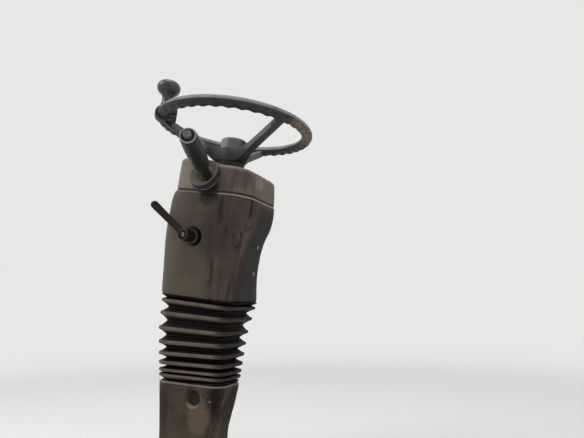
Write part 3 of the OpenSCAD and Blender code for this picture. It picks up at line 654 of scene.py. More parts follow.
def screw_tree():
    """Socket screws: a round head with a hole in it, one on each vertex of a carrier, along its normal"""
    made = make_tree("screws", {"Carrier": "Object", "Screw": "Object"},
                     [("carrier", "GeometryNodeObjectInfo", {}), ("screw", "GeometryNodeObjectInfo", {}),
                      ("normal", "GeometryNodeInputNamedAttribute", {"data_type": "FLOAT_VECTOR"}),
                      ("align", "FunctionNodeAlignRotationToVector", {"axis": "Z"})],
                     [("given", "Carrier", "carrier", "Object"), ("given", "Screw", "screw", "Object"),
                      ("carrier", "Geometry", "spread", "Points"), ("screw", "Geometry", "spread", "Instance"),
                      ("normal", "Attribute", "align", "Vector"), ("align", "Rotation", "spread", "Rotation")])
    made["normal"].inputs["Name"].default_value = "out"


# Pieces

def hollow(obj, name, place, mouth, floor, depth, lip=2.0):
    """Cuts a round recess into a shell and closes it with a bevelled cup, with painted shade at its floor. Z runs
    out of the surface"""
    edge = [(mouth + lip * (1 - cos(a)), -lip * (1 - sin(a))) for a in np.linspace(0, pi / 2, 6)]
    cut(obj, *lathe([(0, -depth - 3), (mouth, -depth - 3)] + edge + [(mouth + lip, 6), (0, 6)], 72), place)
    profile = [(mouth - 0.1, -0.6), (mouth - 1.0, -1.6), (floor + 1.2, 0.9 - depth), (floor, -depth),
               (0.01, -depth - 0.2), (0.01, -depth - 2.2), (floor + 1.5, -depth - 2.2), (mouth - 0.1, -3.8)]
    cup = add_mesh(name, *lathe(profile, 72), place, obj.data.materials[0].name)
    # Painted shade on the cup's floor
    paint(cup, place, "recess_black", lambda r, z, up: r < floor + 0.6)
    return cup


def at_height(rows, height, column=2):
    """What a table of sections has at a height in one of its columns: its half width, or 4 for its rear"""
    return float(np.interp(height, [r[0] for r in rows], [r[column] for r in rows]))


def foot_shell():
    obj = add_mesh("foot_shell", *shell(FOOT_ROWS), FOOT, "foot_grey")
    mouth = FOOT @ shift(-at_height(FOOT_ROWS, RECESS_HEIGHT), 7, RECESS_HEIGHT) @ turn(-90, "Y")
    cup = hollow(obj, "foot_recess", mouth, 19.6, 14.2, 8)
    settle(obj, "base", "foot_moulding", "foot_cover")
    settle(cup, "base", "foot_moulding")


def housing_shell():
    obj = add_mesh("housing_shell", *shell(HOUSING_ROWS), COLUMN, "housing_grey")
    mouth = LEVER @ shift(0, 0, at_height(HOUSING_ROWS, LEVER_HEIGHT))
    cup = hollow(obj, "lever_recess", mouth, 22, 18.6, 5.5, 2.6)
    settle(obj, "column", "housing_moulding", "main_housing")
    settle(cup, "column", "housing_moulding")


def cover_shell():
    """The sloped cover: sides, rounded shoulder and slightly domed top with the shaft's hole, its front raised"""
    rows = fair_rows(COVER_ROWS, 4.0)
    height, _, width, front, rear, corner = COVER_ROWS[-1]
    hole, swell = 24.0, 1.0
    lift, lift_from, lift_low, lift_over = 0.00055, -20.0, 325.0, 45.0

    def shoulder(inset, down):
        out = []
        for a in np.linspace(0, pi / 2, 10)[1:]:
            q = COVER_EDGE * (1 - cos(a))
            row = (height + COVER_EDGE * sin(a), COVER_SLOPE, width - q, front - q, rear + q, corner - q)
            out.append(section(row, inset, down))
        return out

    def crown(edge, down):
        """Rings from the flat top's edge in to the shaft's hole"""
        out = []
        for k in np.linspace(0.12, 1, 8):
            ring = []
            for px, py, _ in edge:
                t = atan2(py, px)
                x, y = px + (hole * cos(t) - px) * k, py + (hole * sin(t) - py) * k
                ring.append((x, y, COVER_TOP + down + COVER_SLOPE * y + swell * sin(k * pi / 2)))
            out.append(ring)
        return out

    outer, inner = shoulder(0, 0), shoulder(WALL, -WALL)
    rings = [section(r) for r in rows] + outer + crown(outer[-1], 0) + crown(inner[-1], -WALL)[::-1] + inner[::-1]
    rings += [section(r, WALL, -0.5) for r in reversed(rows[1:])] + [section(rows[0], WALL)]
    rings = [[(x, y, z + lift * max(0.0, y - lift_from) ** 2 * min(1.0, max(0.0, (z - lift_low) / lift_over)))
              for x, y, z in ring] for ring in rings]
    piece("cover_shell", skin(rings, wrap_rings=True), COLUMN, "cover_grey", "column", "housing_moulding",
          "top_cover")


def bellows_skin(bead, pleat):
    """Eight pleats with beaded crests, each on the section that the lean gives it"""
    whole = sum(PLEAT_STEPS)
    shares = np.cumsum(PLEAT_STEPS) / whole
    length = FLOOR_TO_PIVOT + (HOUSING_BOTTOM - SEAT) * cos(LEAN) - FOOT_TOP - SEAT
    profile = [(0.0, 0.0, 2.2, 0.0), (0.012, 0.0, 3.4, 0.0), (PLEAT_STEPS[0] * 0.35 / whole, 0.0, pleat * 0.92, 0.0)]
    n = len(PLEAT_STEPS) - 1
    for i in range(n):
        down, up = PLEAT_STEPS[i] / whole, PLEAT_STEPS[i + 1] / whole
        before, lean, after = PLEAT_LEAN[i:i + 3]
        fall, climb = lean - before, after - lean
        r = min(bead, 0.29 * min(down, up) * length)
        for a in np.radians((-100, -75, -50, -25, 0, 25, 50, 75, 100)):
            off = r * sin(a) / length
            share = off / (down if a < 0 else up)
            # The crest mark sets the dust and painted highlight: full on the bead, less below it, least above it
            mark = 1.0 if abs(a) < 1.0 else 0.7 if a < 0 else 0.25
            profile.append((shares[i] + off, lean + share * (fall if a < 0 else climb), r * (1 - cos(a)), mark))
        # The slope down to the valley, and up again to the next crest, with a faint mark of dust and painted
        # highlight where it nears that crest
        first, deep = r / (up * length), pleat if i < n - 1 else pleat * 0.6
        slope = [(first + (0.44 - first) * t, 1.17 * r + (0.95 * deep - 1.17 * r) * t) for t in (0.4, 0.75, 1)]
        rise = [(1 - k, depth) for k, depth in reversed(slope)] if i < n - 1 else []
        for k, depth in slope + [(0.5, deep)] + rise:
            profile.append((shares[i] + up * k, lean + climb * k, depth, 0.2 if k > 0.72 else 0.0))
    profile += [(0.992, 1.0, 1.0, 0.0), (1.0, 1.0, -1.4, 0.0)]

    def ring(share, lean, inset):
        z = FOOT_TOP + SEAT + share * length
        y0 = -(z - FLOOR_TO_PIVOT) * tan(LEAN) if z > FLOOR_TO_PIVOT else 0.0
        w, f, b, c = (lo + (hi - lo) * share for lo, hi in zip(BELLOWS_LOW, BELLOWS_HIGH))
        a = LEAN * lean
        return [(x, AXIS_Y + y0 + y * cos(a), z + y * sin(a))
                for x, y in rounded_box(w - inset, f - inset, b + inset, max(c - inset, 6), 10, 6)]

    outer = [ring(s, k, i) for s, k, i, _ in profile]
    inner = [ring(s, k, i + 2.0) for s, k, i, _ in profile]
    marks = [mark for *_, mark in profile for _ in outer[0]] + [0.0] * (len(outer[0]) * len(inner))
    obj = add_mesh("bellows_skin", *skin(outer + inner[::-1], wrap_rings=True), Matrix.Identity(4), "bellows_black",
                   60, marks)
    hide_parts("bellows")
    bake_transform(obj)


def on_rim(r, a, t):
    """A point at the rim: radius and angle within its round section, and the angle along it"""
    reach = RIM_RADIUS + r * cos(a)
    return reach * cos(t), reach * sin(t), r * sin(a)


def rim_grip(count, depth):
    """The rim: round and smooth above its parting line, with a row of finger grips below it"""
    phase = radians(2.8)
    rings = []
    for t in around(count * 8):
        wave = 0.5 * (1 - cos(count * (t - phase)))
        ring = []
        for a in (*np.linspace(0.0, pi, 18), *np.linspace(-pi + 0.10, -0.10, 20)):
            r = RIM_R
            if a < 0:
                r -= 0.55 + depth * wave ** 0.8 * min(1.0, max(0.0, (-sin(a) - 0.15) / 0.75)) ** 1.2
            ring.append(on_rim(r, a, t))
        rings.append(ring)
    piece("rim_grip", skin(rings, wrap_rings=True), WHEEL, "rim_skin", "wheel", "wheel_skin", "wheel_rim", crease=50)


def spoke_line(d):
    """Height of the straight line along a spoke's top"""
    return HUB_TOP - 7.3 + SPOKE_RISE * (d - HUB_R)


def spoke_half(d):
    return (20.0 - 4.0 * max(0.0, d - HUB_R) / (RIM_RADIUS - HUB_R)) / 2


# Along a spoke: distance from the axis, height of its top, what its sides stand out at the rim, and what
# its underside rises there
SPOKE_TOPS = [(d, HUB_TOP + rise) for d, rise in ((16, 7.4), (26, 7.2), (48, 6.6), (56, 7.1), (62, 8.4), (68, 10.5))]
SPOKE_TOPS += [(d, spoke_line(d)) for d in (76, 90, 120, 174)]
SPOKE_ENDS = [(0, 0, 0), (150, 0, 0), (157, 0.25, 0.5), (161.25, 0.6, 1.0), (164.5, 1.0, 1.5), (167.25, 1.6, 2.2),
              (170, 2.5, 3.0), (172.25, 3.4, 3.6)]

# The arc that rounds a spoke's shoulder into the hub: its radius, and its middle's distance from the spoke's axis.
# Then the underside's lowest height, and how much deeper the root is there
BLEND_R, BLEND_OFF = 70.0, 80.0
SPOKE_FLOOR, ROOT_DEPTH = 401.5, 6.5


def spoke_section(d, top):
    """Closed outline across a spoke: its raised middle, and the shoulder that it rounds into the hub with"""
    _, wide, rise = (np.interp(d, [r[0] for r in SPOKE_ENDS], [r[c] for r in SPOKE_ENDS]) for c in range(3))
    blend_far = sqrt((HUB_R + BLEND_R) ** 2 - BLEND_OFF ** 2)
    half = spoke_half(d) + wide
    out = half
    if d < blend_far:
        out = max(half, BLEND_OFF - sqrt(BLEND_R ** 2 - min(BLEND_R - 0.1, blend_far - d) ** 2))
    if d < blend_far * HUB_R / (HUB_R + BLEND_R):
        out = min(out, sqrt(HUB_R ** 2 - d ** 2) - 0.15)
    low = max(SPOKE_FLOOR, spoke_line(d) - 18.6 + rise - ROOT_DEPTH * min(1.0, max(0.0, (78 - d) / 40)))
    ledge = max(HUB_TOP, low + 6)
    f = min(2.6, (top - ledge) * 0.6)
    k = min(1.0, (out - half) / (2 * f + 1.5))
    side = [(half - 1.6, top), (half - 0.5, top - 0.4), (half, top - 1.5), (half, ledge + f + 0.2),
            (half + 0.12 * f * k, ledge + 0.45 * f), (half + 0.45 * f * k, ledge + 0.12 * f), (half + f * k, ledge),
            (out - 1.2 * k, ledge - 0.02), (out - 0.35 * k, ledge - 0.4), (out, ledge - 1.3), (out, low + 2.4),
            (out - 0.7, low + 0.7), (out - 2.4, low)]
    return [(d, y, z) for y, z in side] + [(d, -y, z) for y, z in reversed(side)]


def spider():
    """Hub and three dished spokes, rounded into each other"""
    parts = [add_mesh("hub_body", *lathe(eased([
        (0, HUB_LOW), (29.5, HUB_LOW), (31.8, HUB_LOW + 2.5), (32.4, HUB_LOW + 10.5), (34, HUB_LOW + 13),
        (34, HUB_TOP), (0, HUB_TOP)], 1.2), 96), COLUMN, "hub_black")]
    tops = fair_rows(SPOKE_TOPS, 2.5)
    ends = (152, 155, 158, 161, 163, 165, 167, 169, 171, 172.25)
    for angle in SPOKE_ANGLES:
        rings = [spoke_section(d, z) for d, z in tops if d < 150] + [spoke_section(d, spoke_line(d)) for d in ends]
        parts.append(add_mesh("spoke", *skin(rings), COLUMN @ turn(angle, "Z"), "hub_black", 30))
    obj = merged("spider", parts)
    # Painted light on the spokes' upright sides
    paint(obj, COLUMN, "rib_grey", lambda r, z, up: 72 < r < 152 and abs(up) < 0.2)
    settle(obj, "wheel", "wheel_skin", "wheel_spider")


def spoke_ribs(pitch):
    """Fine ribs across both sides of each spoke, from the hub's flare to the rim"""
    start, end = 66.0, 150.0
    count = int((end - start) / (pitch * cos(atan(SPOKE_RISE)))) + 1
    rows = []
    for angle in SPOKE_ANGLES:
        for side in (-1, 1):
            first, last = (Vector((d, side * (spoke_half(d) + 0.1), spoke_line(d) - 9.0)) * MM for d in (start, end))
            # The ribs take the spokes' painted light
            rows.append(repeated("rib_row", "rib_grey", Start=first, End=last, Rib_Size=Vector((2.4, 2.0, 10.6)) * MM,
                                 Turn=Vector((0, -0.20, 0)), Count=count))
            rows[-1].transform(COLUMN @ turn(angle, "Z"))
    settle(gathered("spoke_ribs", rows, "rib_grey"), "wheel", "wheel_skin")
    for mesh in rows:
        bpy.data.meshes.remove(mesh)


def hub_cap():
    profile = [(0, 0.2), (31.6, 0.2), (32.8, 0.9), (33, 2), (32.3, 4.5), (31.6, 9), (31.4, 21)]
    profile += [(24.4 + 7 * cos(a), 22.2 + 7 * sin(a)) for a in np.linspace(0.1, pi / 2, 8)]
    profile += [(20, 29.0), (14, 28.7), (0, 28.6)]
    piece("cap", lathe(profile, 96), COLUMN @ shift(0, 0, HUB_TOP), "cap_skin", "wheel", "wheel_skin", "hub_cap")


def spinner():
    shape = [(5.2, 0), (13.0, 0), (13.2, 1.5), (12.6, 3.2), (12.1, 6), (11.8, 10), (11.8, 14), (12.1, 18),
             (13.1, 21.5), (15.2, 24.5), (18.4, 27.5), (21.8, 30), (24.2, 33), (25.9, 36.4), (26.9, 40.5),
             (27.0, 43.5), (26.4, 47.5), (24.9, 51), (22.4, 54.1), (18.8, 57.0), (14.0, 59.2), (8.4, 60.4),
             (0.01, 60.7), (0.01, 42), (5.2, 42)]
    piece("spinner_head", lathe([(r, KNOB_LOW + z) for r, z in shape], 72), KNOB, "knob_gloss", "knob", "knob_black",
          "spinner_knob", crease=60)


def swept(start, end, low, high, wall):
    """A part of a band round the rim, between two places along it and two angles of its section, all in degrees"""
    rings = []
    for t in np.linspace(start, end, 13):
        edge = 1.4 * max(0.0, 0.9 - min(t - start, end - t)) / 0.9
        outer = [(RIM_R + wall - edge, a) for a in np.radians(np.linspace(low, high, 30))]
        inner = [(RIM_R - 3.3, a) for a in np.radians(np.linspace(high, low, 30))]
        band = [on_rim(r, a, radians(t)) for r, a in outer + inner]
        rings.append([(x - RIM_RADIUS + KNOB_IN, y, z) for x, y, z in band])
    return skin(rings)


def jaw(low, high):
    """One of the clamp's two jaws: a rounded block inside the rim, between two heights"""
    return skin([[(x - 17.2, y + 3.7, z) for x, y in rounded_box(9.8 - i, 11.3 - i, -11.3 + i, 4 - i, 5, 3)]
                 for z, i in ((low, 1.2), (low + 0.4, 0.4), (low + 1.2, 0), (high - 1.2, 0), (high - 0.4, 0.4),
                              (high, 1.2))])


def saddle():
    """The knob's clamp: a band round the rim, two jaws with their pinch screw, and the stud's foot"""
    half, side = degrees(15 / RIM_RADIUS), degrees(-7.55 / RIM_RADIUS)
    forms = [swept(-half, half, -82, 178, 5), swept(side, half, 176, 280, 5), jaw(-13, -0.9), jaw(0.9, 13)]
    head = eased([(0, 3), (3.6, 3), (3.6, 0), (1.8, 0), (1.6, 1.4), (0, 1.5)], 0.4)
    forms += [lathe([(x, y + z) for x, y in head], 28) for z in (-15.4, -1.5)]
    forms.append(lathe([(0, 12.0), (17.6, 12.0), (16.8, 14.5), (15.2, 17.0), (13.9, 19.2), (13.2, KNOB_LOW - 2.2),
                        (12.6, KNOB_LOW - 1.5), (0, KNOB_LOW - 1.5)], 64))
    places = [KNOB] * 4 + [KNOB @ shift(-20, 4, 0)] * 2 + [KNOB]
    parts = [add_mesh("part", *form, place, "saddle_black") for form, place in zip(forms, places)]
    settle(merged("saddle", parts), "wheel", "knob_black", "knob_clamp")


def stalk_handle():
    grip = eased([
        (11.55, 44), (13.8, 44), (16.0, 47.5), (17.9, 62), (19.2, 84), (19.6, 100), (19.3, 125), (18.7, 150),
        (17.9, 168), (17.1, 175), (16.4, 178.8), (15.6, 180.2), (13.9, 180.2), (13.2, 178.9), (12.6, 177.2),
        (9.0, 177.2), (9.0, 170), (0.01, 170), (0.01, 64.1), (11.55, 64.1)], 0.7)
    obj = add_mesh("stalk_handle", *lathe(grip, 72), STALK, "stalk_black", 50)
    # A painted highlight on the tip ring
    paint(obj, STALK, "tip_grey", lambda r, z, up: 13.3 < r < 17.0 and z > 177.6 and up > 0.2)
    settle(obj, "stalk", "black_plastic", "stalk_grip")
    button = eased([(0, 170.3), (8.2, 170.3), (8.2, 186.2), (7.3, 187.6), (6.4, 187.6), (5.9, 186.9),
                    (0, 186.7)], 0.7)
    piece("stalk_push", lathe(button, 48), STALK, "button_grey", "stalk", "black_plastic", "stalk_button")
    ball = [(13.7 * cos(a), 13.7 * sin(a)) for a in np.linspace(-1.5, 0.95, 22)]
    piece("stalk_ball", lathe([(0, -13.7)] + ball + [(0, ball[-1][1])], 64), STALK @ shift(0, 0, -12), "bowl_dust",
          "stalk", "black_plastic")


def dish():
    """Switch body, rings and flared cup that the stalk comes out of, with dust in its bowl"""
    outside = eased([
        (0.01, -62), (20, -62), (20, -22), (31, -22), (31, -4), (37.2, -4), (38, -3.2), (38, 2.4), (37.2, 3.4),
        (35.5, 4.1), (35.5, 5.9), (36.7, 6.6), (37.3, 7.4), (37.3, 9), (36.3, 10), (34.1, 11), (34.1, 13.3),
        (34.9, 14.7), (34.9, 15.7), (34.1, 16.3)], 0.6)
    bowl = eased([(34.1, 16.3), (33.1, 15.7), (24.5, 11.5), (20.4, 8), (17.6, 4), (15.2, -0.4), (14.5, -1.2),
                  (14.5, -14), (0.01, -15)], 1.4)
    obj = add_mesh("dish", *lathe(outside + bowl[1:], 96), DISH, "stalk_black", 50)
    paint(obj, DISH, "bowl_dust", lambda r, z, up: z > -0.8 and r < 33.2 and up > 0.1)
    paint(obj, DISH, "button_grey",
          lambda r, z, up: r > 33.2 and z > 15.4 or r > 36 and (6 < z < 7.6 or 2.4 < z < 3.6))
    settle(obj, "column", "black_plastic", "switch_socket")


def tilt_lever(length):
    """The lever's flanged boss in its recess, and the arm that stands on the boss's head"""
    face, head = at_height(HOUSING_ROWS, LEVER_HEIGHT) - 5.5, 118.0
    hub = add_mesh("lever_boss", *lathe(eased([
        (0, face - 12), (7, face - 12), (7, face + 1), (16.6, face + 1), (16.6, face + 11), (14, face + 14),
        (13.2, head - 4), (13.2, head + 3), (12.9, head + 5), (11.4, head + 6), (8.2, head + 6), (7.6, head + 3.4),
        (0, head + 3.4)], 0.9), 64), LEVER, "lever_black")
    arm = add_mesh("lever_arm", *lathe([
        (0, 4), (8.6, 4), (8.0, 14), (7.7, 30), (8.0, 55), (8.5, 85), (9.0, length - 18), (9.0, length - 9),
        (8.6, length - 5.2), (7.4, length - 2.4), (5.2, length - 0.6), (2.4, length), (0, length)], 40),
        LEVER @ shift(0, 0, head - 2) @ turn(-34, "Z") @ turn(-90, "X"), "lever_black")
    obj = merged("lever", [hub, arm])
    # A painted highlight on the rims of the head and of the flange
    paint(obj, LEVER, "worn_black", lambda r, z, up: 11 < r < 13 and z > head + 4.6
          or 13.8 < r < 16.4 and face + 10.5 < z < face + 14.5)
    settle(obj, "lever", "black_plastic", "lever_hub", "lever_grip")


def fasteners():
    """Screws in the housing's rear face, and the one in the lever's head"""
    screw = add_mesh("one_screw", *lathe(eased([
        (0, -1.5), (4.4, -1.5), (4.4, 1.1), (3.8, 1.9), (2.5, 2.0), (2.4, -1.0), (0, -1.1)], 0.4), 28),
        Matrix.Identity(4), "screw_steel")
    spots = {"column": [], "lever": [(LEVER @ Vector((0, 0, 121.6 * MM)), LEVER.to_3x3() @ Vector((0, 0, 1)))]}
    for x, h in ((30, 205), (33, 142)):
        low, high = (at_height(HOUSING_ROWS, h + step, 4) for step in (-1, 1))
        spots["column"].append((COLUMN @ (Vector((x, (low + high) / 2, h)) * MM),
                                COLUMN.to_3x3() @ Vector((0, -1, (high - low) / 2)).normalized()))
    for body, places in spots.items():
        mesh = bpy.data.meshes.new("carrier")
        mesh.from_pydata([p for p, _ in places], [], [])
        out = mesh.attributes.new("out", "FLOAT_VECTOR", "POINT")
        out.data.foreach_set("vector", [c for _, n in places for c in n])
        carrier = add_object("carrier", mesh)
        result = repeated("screws", "screw_steel", Carrier=carrier, Screw=screw)
        bpy.data.objects.remove(carrier)
        settle(link(f"{body}_screws", result), body, "bright_steel")
    bpy.data.objects.remove(screw)


def hardware():
    """Finishes on the solids that stay as they are"""
    for look, nodes in (("dark_primer", ("base_plate", "post")), ("stalk_black", ("stalk_rod",)),
                        ("turned_steel", ("pivot_pins", "lower_shaft", "column_jacket", "steering_shaft",
                                          "knob_stud"))):
        for node in nodes:
            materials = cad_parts[node].data.materials
            materials.clear()
            materials.append(finish(look))


# Stage

PHOTO_W, FOCAL_PX, SENSOR_MM = 584, 459.2, 36.0
CAMERA_AT = (-0.9245, -0.6539, 0.3675)
CAMERA_YAW, CAMERA_PITCH, CAMERA_ROLL = (radians(a) for a in (23.5, 11.5, -1.1))


def camera():
    ahead = Vector((cos(CAMERA_YAW) * cos(CAMERA_PITCH), sin(CAMERA_YAW) * cos(CAMERA_PITCH),
                    sin(CAMERA_PITCH)))
    level = Vector((sin(CAMERA_YAW), -cos(CAMERA_YAW), 0))
    over = level.cross(ahead)
    right = level * cos(CAMERA_ROLL) + over * sin(CAMERA_ROLL)
    up = over * cos(CAMERA_ROLL) - level * sin(CAMERA_ROLL)
    data = bpy.data.cameras.new("photo_camera")
    data.sensor_width = SENSOR_MM
    data.lens = FOCAL_PX / PHOTO_W * SENSOR_MM
    data.clip_start, data.clip_end = 0.02, 60
    cam = add_object("photo_camera", data)
    cam.matrix_world = Matrix.Translation(CAMERA_AT) @ Matrix((right, up, -ahead)).transposed().to_4x4()
    bpy.context.scene.camera = cam


def lamp(name, at, aim, size, power, colour=(1, 1, 1)):
    data = bpy.data.lights.new(name, "AREA")
    data.shape, data.size, data.energy, data.color = "DISK", size, power, colour
    way = Vector(aim) - Vector(at)
    aimed = way.to_track_quat("-Z", "Y").to_matrix().to_4x4()
    add_object(name, data).matrix_world = Matrix.Translation(at) @ aimed


BACKDROP = (0.80, 0.80, 0.79)


def sweep():
    """Pale floor that curves up into a low backdrop all round, which meets the world's colour"""
    flat, bend, m = 2.6, 1.2, 64
    profile = [(flat, 0)] + [(flat + bend * sin(a), bend - bend * cos(a)) for a in np.linspace(0.15, pi / 2, 10)]
    profile.append((flat + bend, 1.8))
    points = [(r * cos(t), r * sin(t), z) for r, z in profile for t in around(m)]
    faces = [(j * m + i, (j + 1) * m + i, (j + 1) * m + (i + 1) % m, j * m + (i + 1) % m)
             for j in range(len(profile) - 1) for i in range(m)]
    mesh = bpy.data.meshes.new("studio_sweep")
    mesh.from_pydata(points, [], faces + [tuple(range(m))])
    mesh.shade_smooth()
    s = Shade("studio_paint")
    mesh.materials.append(s.finish(BACKDROP, 0.9, Specular_IOR_Level=0.2))
    x, y, _ = s.axes(s.within())
    away = s.math("SQRT", s.plus(s.times(x, x), s.times(y, y)))
    s.shown("Material Output", s.times(s.seen(), s.band(away, 1.5, 3.2)), s.nodes["Principled BSDF"].outputs[0],
            s.fed("Emission", BACKDROP))
    add_object("studio_sweep", mesh)


def sky(level):
    """White light on the object, and the backdrop's colour where the camera sees the sky"""
    s = Shade(bpy.data.worlds.new("studio"))
    light = s.nodes["Background"]
    for socket, value in zip(light.inputs, ((1, 1, 1), level)):
        s.join(socket, value)
    s.shown("World Output", s.seen(), light.outputs[0], s.fed("Background", BACKDROP))
    bpy.context.scene.world = s.owner


# Settings, operators and panel

class BellowsSettings(bpy.types.PropertyGroup):
    bead: bpy.props.FloatProperty(name="Crest radius", description="Radius of the bead on each crest, in millimetres",
                                  default=4.2, min=0.8, max=5.0)
    depth: bpy.props.FloatProperty(name="Pleat depth", description="Depth of a pleat, in millimetres",
                                   default=17.0, min=8.0, max=18.0)
    colour: bpy.props.FloatVectorProperty(name="Rubber", description="Colour of the clean rubber", subtype="COLOR",
                                          size=3, default=linear(21, 18, 17), min=0, max=1)
    # Colour of the crests' dust, which also carries their painted highlight
    dust: bpy.props.FloatVectorProperty(name="Dust", description="Colour of the dust on the crests", subtype="COLOR",
                                        size=3, default=linear(106, 96, 87), min=0, max=1)


class ShellSettings(bpy.types.PropertyGroup):
    colour: bpy.props.FloatVectorProperty(name="Housing", description="Colour of the housing's moulding",
                                          subtype="COLOR", size=3, default=linear(80, 73, 64), min=0, max=1)
    cover: bpy.props.FloatVectorProperty(name="Cover", description="Colour of the top cover's moulding",
                                         subtype="COLOR", size=3, default=linear(109, 99, 92), min=0, max=1)
    foot: bpy.props.FloatVectorProperty(name="Foot", description="Colour of the foot's moulding", subtype="COLOR",
                                        size=3, default=linear(71, 63, 53), min=0, max=1)
    grime: bpy.props.FloatProperty(name="Grime", description="Strength of the drips and smears", default=0.85,
                                   min=0, max=1, subtype="FACTOR")


class WheelSettings(bpy.types.PropertyGroup):
    grips: bpy.props.IntProperty(name="Finger grips", description="Number of finger grips under the rim", default=39,
                                 min=24, max=60)
    grip_depth: bpy.props.FloatProperty(name="Grip depth", description="Depth of a finger grip, in millimetres",
                                        default=2.6, min=0.5, max=3.5)
    rib_pitch: bpy.props.FloatProperty(name="Rib pitch", description="Distance between two ribs, in millimetres",
                                       default=5.4, min=3.0, max=9.0)
    wear: bpy.props.FloatProperty(name="Wear", description="How far the skin is worn through at the rear",
                                  default=0.9, min=0, max=1, subtype="FACTOR")
    colour: bpy.props.FloatVectorProperty(name="Skin", description="Colour of the wheel's skin", subtype="COLOR",
                                          size=3, default=linear(38, 39, 42), min=0, max=1)


class LeverSettings(bpy.types.PropertyGroup):
    length: bpy.props.FloatProperty(name="Lever length", description="From its axis to its tip, in millimetres",
                                    default=122.0, min=90, max=130)
    colour: bpy.props.FloatVectorProperty(name="Plastic", description="Colour of the stalk's plastic",
                                          subtype="COLOR", size=3, default=linear(29, 30, 32), min=0, max=1)


class Builder:
    bl_options = {"REGISTER", "UNDO"}


class COLUMN_OT_finishes(Builder, bpy.types.Operator):
    """Make the materials and the trees of what repeats"""
    bl_idname = "column.finishes"
    bl_label = "Finishes"

    def execute(self, context):
        scene = context.scene
        shells, wheel, lever, bellows = (scene.column_shells, scene.column_wheel, scene.column_lever,
                                         scene.column_bellows)
        # The last colour is each shell's painted highlight towards its front
        housing_finish("housing_grey", tuple(shells.colour), shells.grime, HOUSING_SPOTS, STREAKS_AND_DISH_SHADOW, (120, 112, 99))
        housing_finish("cover_grey", tuple(shells.cover), shells.grime * 0.4, COVER_SPOTS, (), (136, 126, 113))
        foot_finish(tuple(shells.foot))
        bellows_finish(tuple(bellows.colour), tuple(bellows.dust))
        black = tuple(lever.colour)
        taupe = (80, 73, 64)
        plastic_finish("stalk_black", STALK, black, 0.4, (118, 112, 106), dust=0.3, shine=0.25,
                       spots=[((0, 0, -8), (24, 24, 24), 0.95, taupe)])
        plastic_finish("lever_black", LEVER, linear(20, 18, 16), 0.2, (90, 78, 68), 0.6, 0, shine=0.15)
        # A painted highlight for the rims of the lever's head and flange
        plastic_finish("worn_black", LEVER, linear(48, 44, 40), 0.2, (110, 100, 90), 0.5, 0.2)
        # A painted highlight for the stalk's tip ring
        plastic_finish("tip_grey", STALK, linear(128, 124, 124), 0.2, (150, 146, 142), 0.5, 0.2)
        # Painted shade for the floors of the recesses
        plastic_finish("recess_black", LEVER, linear(26, 23, 21), 0.15, (110, 102, 92), 0.6, 0.03, shine=0.2)
        plastic_finish("button_grey", STALK, linear(88, 84, 86), 0.3, (136, 130, 126))
        # Dust in the bowl, and a painted highlight on its inner wall ahead of the stalk
        plastic_finish("bowl_dust", DISH, linear(*taupe), 0.3, (120, 112, 100), 0.75, 0.3,
                       [((-18, -22, 10), (16, 16, 12), 0.4, (98, 92, 82))], 0.2)
        # A painted highlight on the knob's head
        plastic_finish("knob_gloss", KNOB, linear(42, 44, 47), 0.2, (110, 108, 106), 0.32, 0.1,
                       [((-24, -6, 50), (12, 24, 20), 0.45, (120, 124, 120))], 0.5)
        plastic_finish("saddle_black", KNOB, linear(44, 42, 42), 0.4, (104, 76, 62), 0.5, 0.1)
        # The rim's painted reflection reaches far round its section
        wheel_finish("rim_skin", tuple(wheel.colour), wheel.wear, dust=0.75, reach=0.14)
        # Painted shade round the hub's lower part, and a painted highlight on its left side
        wheel_finish("hub_black", linear(44, 45, 47), 0.0, [((0, 0, -91), (60, 60, 9), 0.8, (34, 32, 30)),
                                                            ((-32, 14, -66), (12, 26, 14), 0.4, (84, 82, 82))])
        # A painted highlight over dust on the cap's left side, and a brown patch towards its rear
        wheel_finish("cap_skin", linear(84, 82, 82), 0.0, [((-29, 14, -42), (16, 20, 24), 0.8, (146, 144, 140)),
                                                           ((6, -28, -36), (26, 22, 20), 0.8, (54, 44, 40))])
        # Painted light for the spokes' sides and ribs
        wheel_finish("rib_grey", linear(100, 100, 100), 0.0)
        steel_finish("dark_primer", (0.045, 0.047, 0.05), 0.7)
        steel_finish("turned_steel", (0.42, 0.42, 0.43), 0.35)
        steel_finish("screw_steel", (0.34, 0.33, 0.32), 0.3)
        rib_row_tree()
        screw_tree()
        return {"FINISHED"}


class COLUMN_OT_foot(Builder, bpy.types.Operator):
    """Make the foot's moulded shell with its recess"""
    bl_idname = "column.foot"
    bl_label = "Foot shell"

    def execute(self, context):
        foot_shell()
        return {"FINISHED"}


class COLUMN_OT_housing(Builder, bpy.types.Operator):
    """Make the main housing and the top cover"""
    bl_idname = "column.housing"
    bl_label = "Housing and cover"

    def execute(self, context):
        housing_shell()
        cover_shell()
        return {"FINISHED"}


class COLUMN_OT_bellows(Builder, bpy.types.Operator):
    """Make the pleated rubber between foot and housing"""
    bl_idname = "column.bellows"
    bl_label = "Bellows"

    def execute(self, context):
        settings = context.scene.column_bellows
        bellows_skin(settings.bead, settings.depth)
        return {"FINISHED"}


class COLUMN_OT_wheel(Builder, bpy.types.Operator):
    """Make the rim, spokes, hub and cap, and the spinner knob with its clamp"""
    bl_idname = "column.wheel"
    bl_label = "Steering wheel"

    def execute(self, context):
        settings = context.scene.column_wheel
        rim_grip(settings.grips, settings.grip_depth)
        spider()
        spoke_ribs(settings.rib_pitch)
        hub_cap()
        spinner()
        saddle()
        return {"FINISHED"}


class COLUMN_OT_levers(Builder, bpy.types.Operator):
    """Make the switch stalk with its dish, and the tilt lever"""
    bl_idname = "column.levers"
    bl_label = "Stalk and lever"

    def execute(self, context):
        stalk_handle()
        dish()
        tilt_lever(context.scene.column_lever.length)
        return {"FINISHED"}


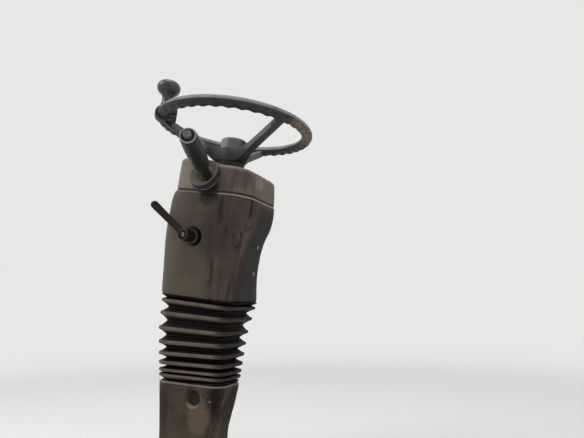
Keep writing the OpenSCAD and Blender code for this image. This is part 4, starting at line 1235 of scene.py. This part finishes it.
class COLUMN_OT_hardware(Builder, bpy.types.Operator):
    """Make the screws, and finish the steel that shows as it is"""
    bl_idname = "column.hardware"
    bl_label = "Screws and steel"

    def execute(self, context):
        fasteners()
        hardware()
        return {"FINISHED"}


class COLUMN_OT_stage(Builder, bpy.types.Operator):
    """Make the floor, the lamps, the world and the camera"""
    bl_idname = "column.stage"
    bl_label = "Stage"

    def execute(self, context):
        sweep()
        lamp("window", (-1.3, 1.2, 2.2), (0, 0, 0.5), 1.3, 22, (1.0, 0.99, 0.97))
        lamp("door", (-0.6, -2.1, 1.4), (0, 0, 0.5), 1.6, 6)
        lamp("over", (-0.3, -0.2, 2.6), (0, 0, 0.6), 1.2, 12)
        sky(0.7)
        context.scene.view_settings.view_transform = "Standard"
        camera()
        return {"FINISHED"}


STEPS = (COLUMN_OT_finishes, COLUMN_OT_foot, COLUMN_OT_housing, COLUMN_OT_bellows, COLUMN_OT_wheel,
         COLUMN_OT_levers, COLUMN_OT_hardware, COLUMN_OT_stage)


class COLUMN_PT_panel(bpy.types.Panel):
    """Settings and steps of the steering column"""
    bl_idname = "COLUMN_PT_panel"
    bl_label = "Steering Column"
    bl_space_type = "VIEW_3D"
    bl_region_type = "UI"
    bl_category = "Column"

    def draw(self, context):
        for name in SETTINGS:
            box = self.layout.box()
            group = getattr(context.scene, name)
            for prop in group.__annotations__:
                box.prop(group, prop)
        for step in STEPS:
            self.layout.operator(step.bl_idname)


SETTINGS = {"column_shells": ShellSettings, "column_bellows": BellowsSettings, "column_wheel": WheelSettings,
            "column_lever": LeverSettings}


def register():
    for cls in (*SETTINGS.values(), *STEPS, COLUMN_PT_panel):
        bpy.utils.register_class(cls)
    for name, cls in SETTINGS.items():
        setattr(bpy.types.Scene, name, bpy.props.PointerProperty(type=cls))


def unregister():
    for name in SETTINGS:
        delattr(bpy.types.Scene, name)
    for cls in reversed((*SETTINGS.values(), *STEPS, COLUMN_PT_panel)):
        bpy.utils.unregister_class(cls)


def main():
    register()
    for step in STEPS:
        group, name = step.bl_idname.split(".")
        getattr(getattr(bpy.ops, group), name)()


if __name__ == "__main__":
    main()
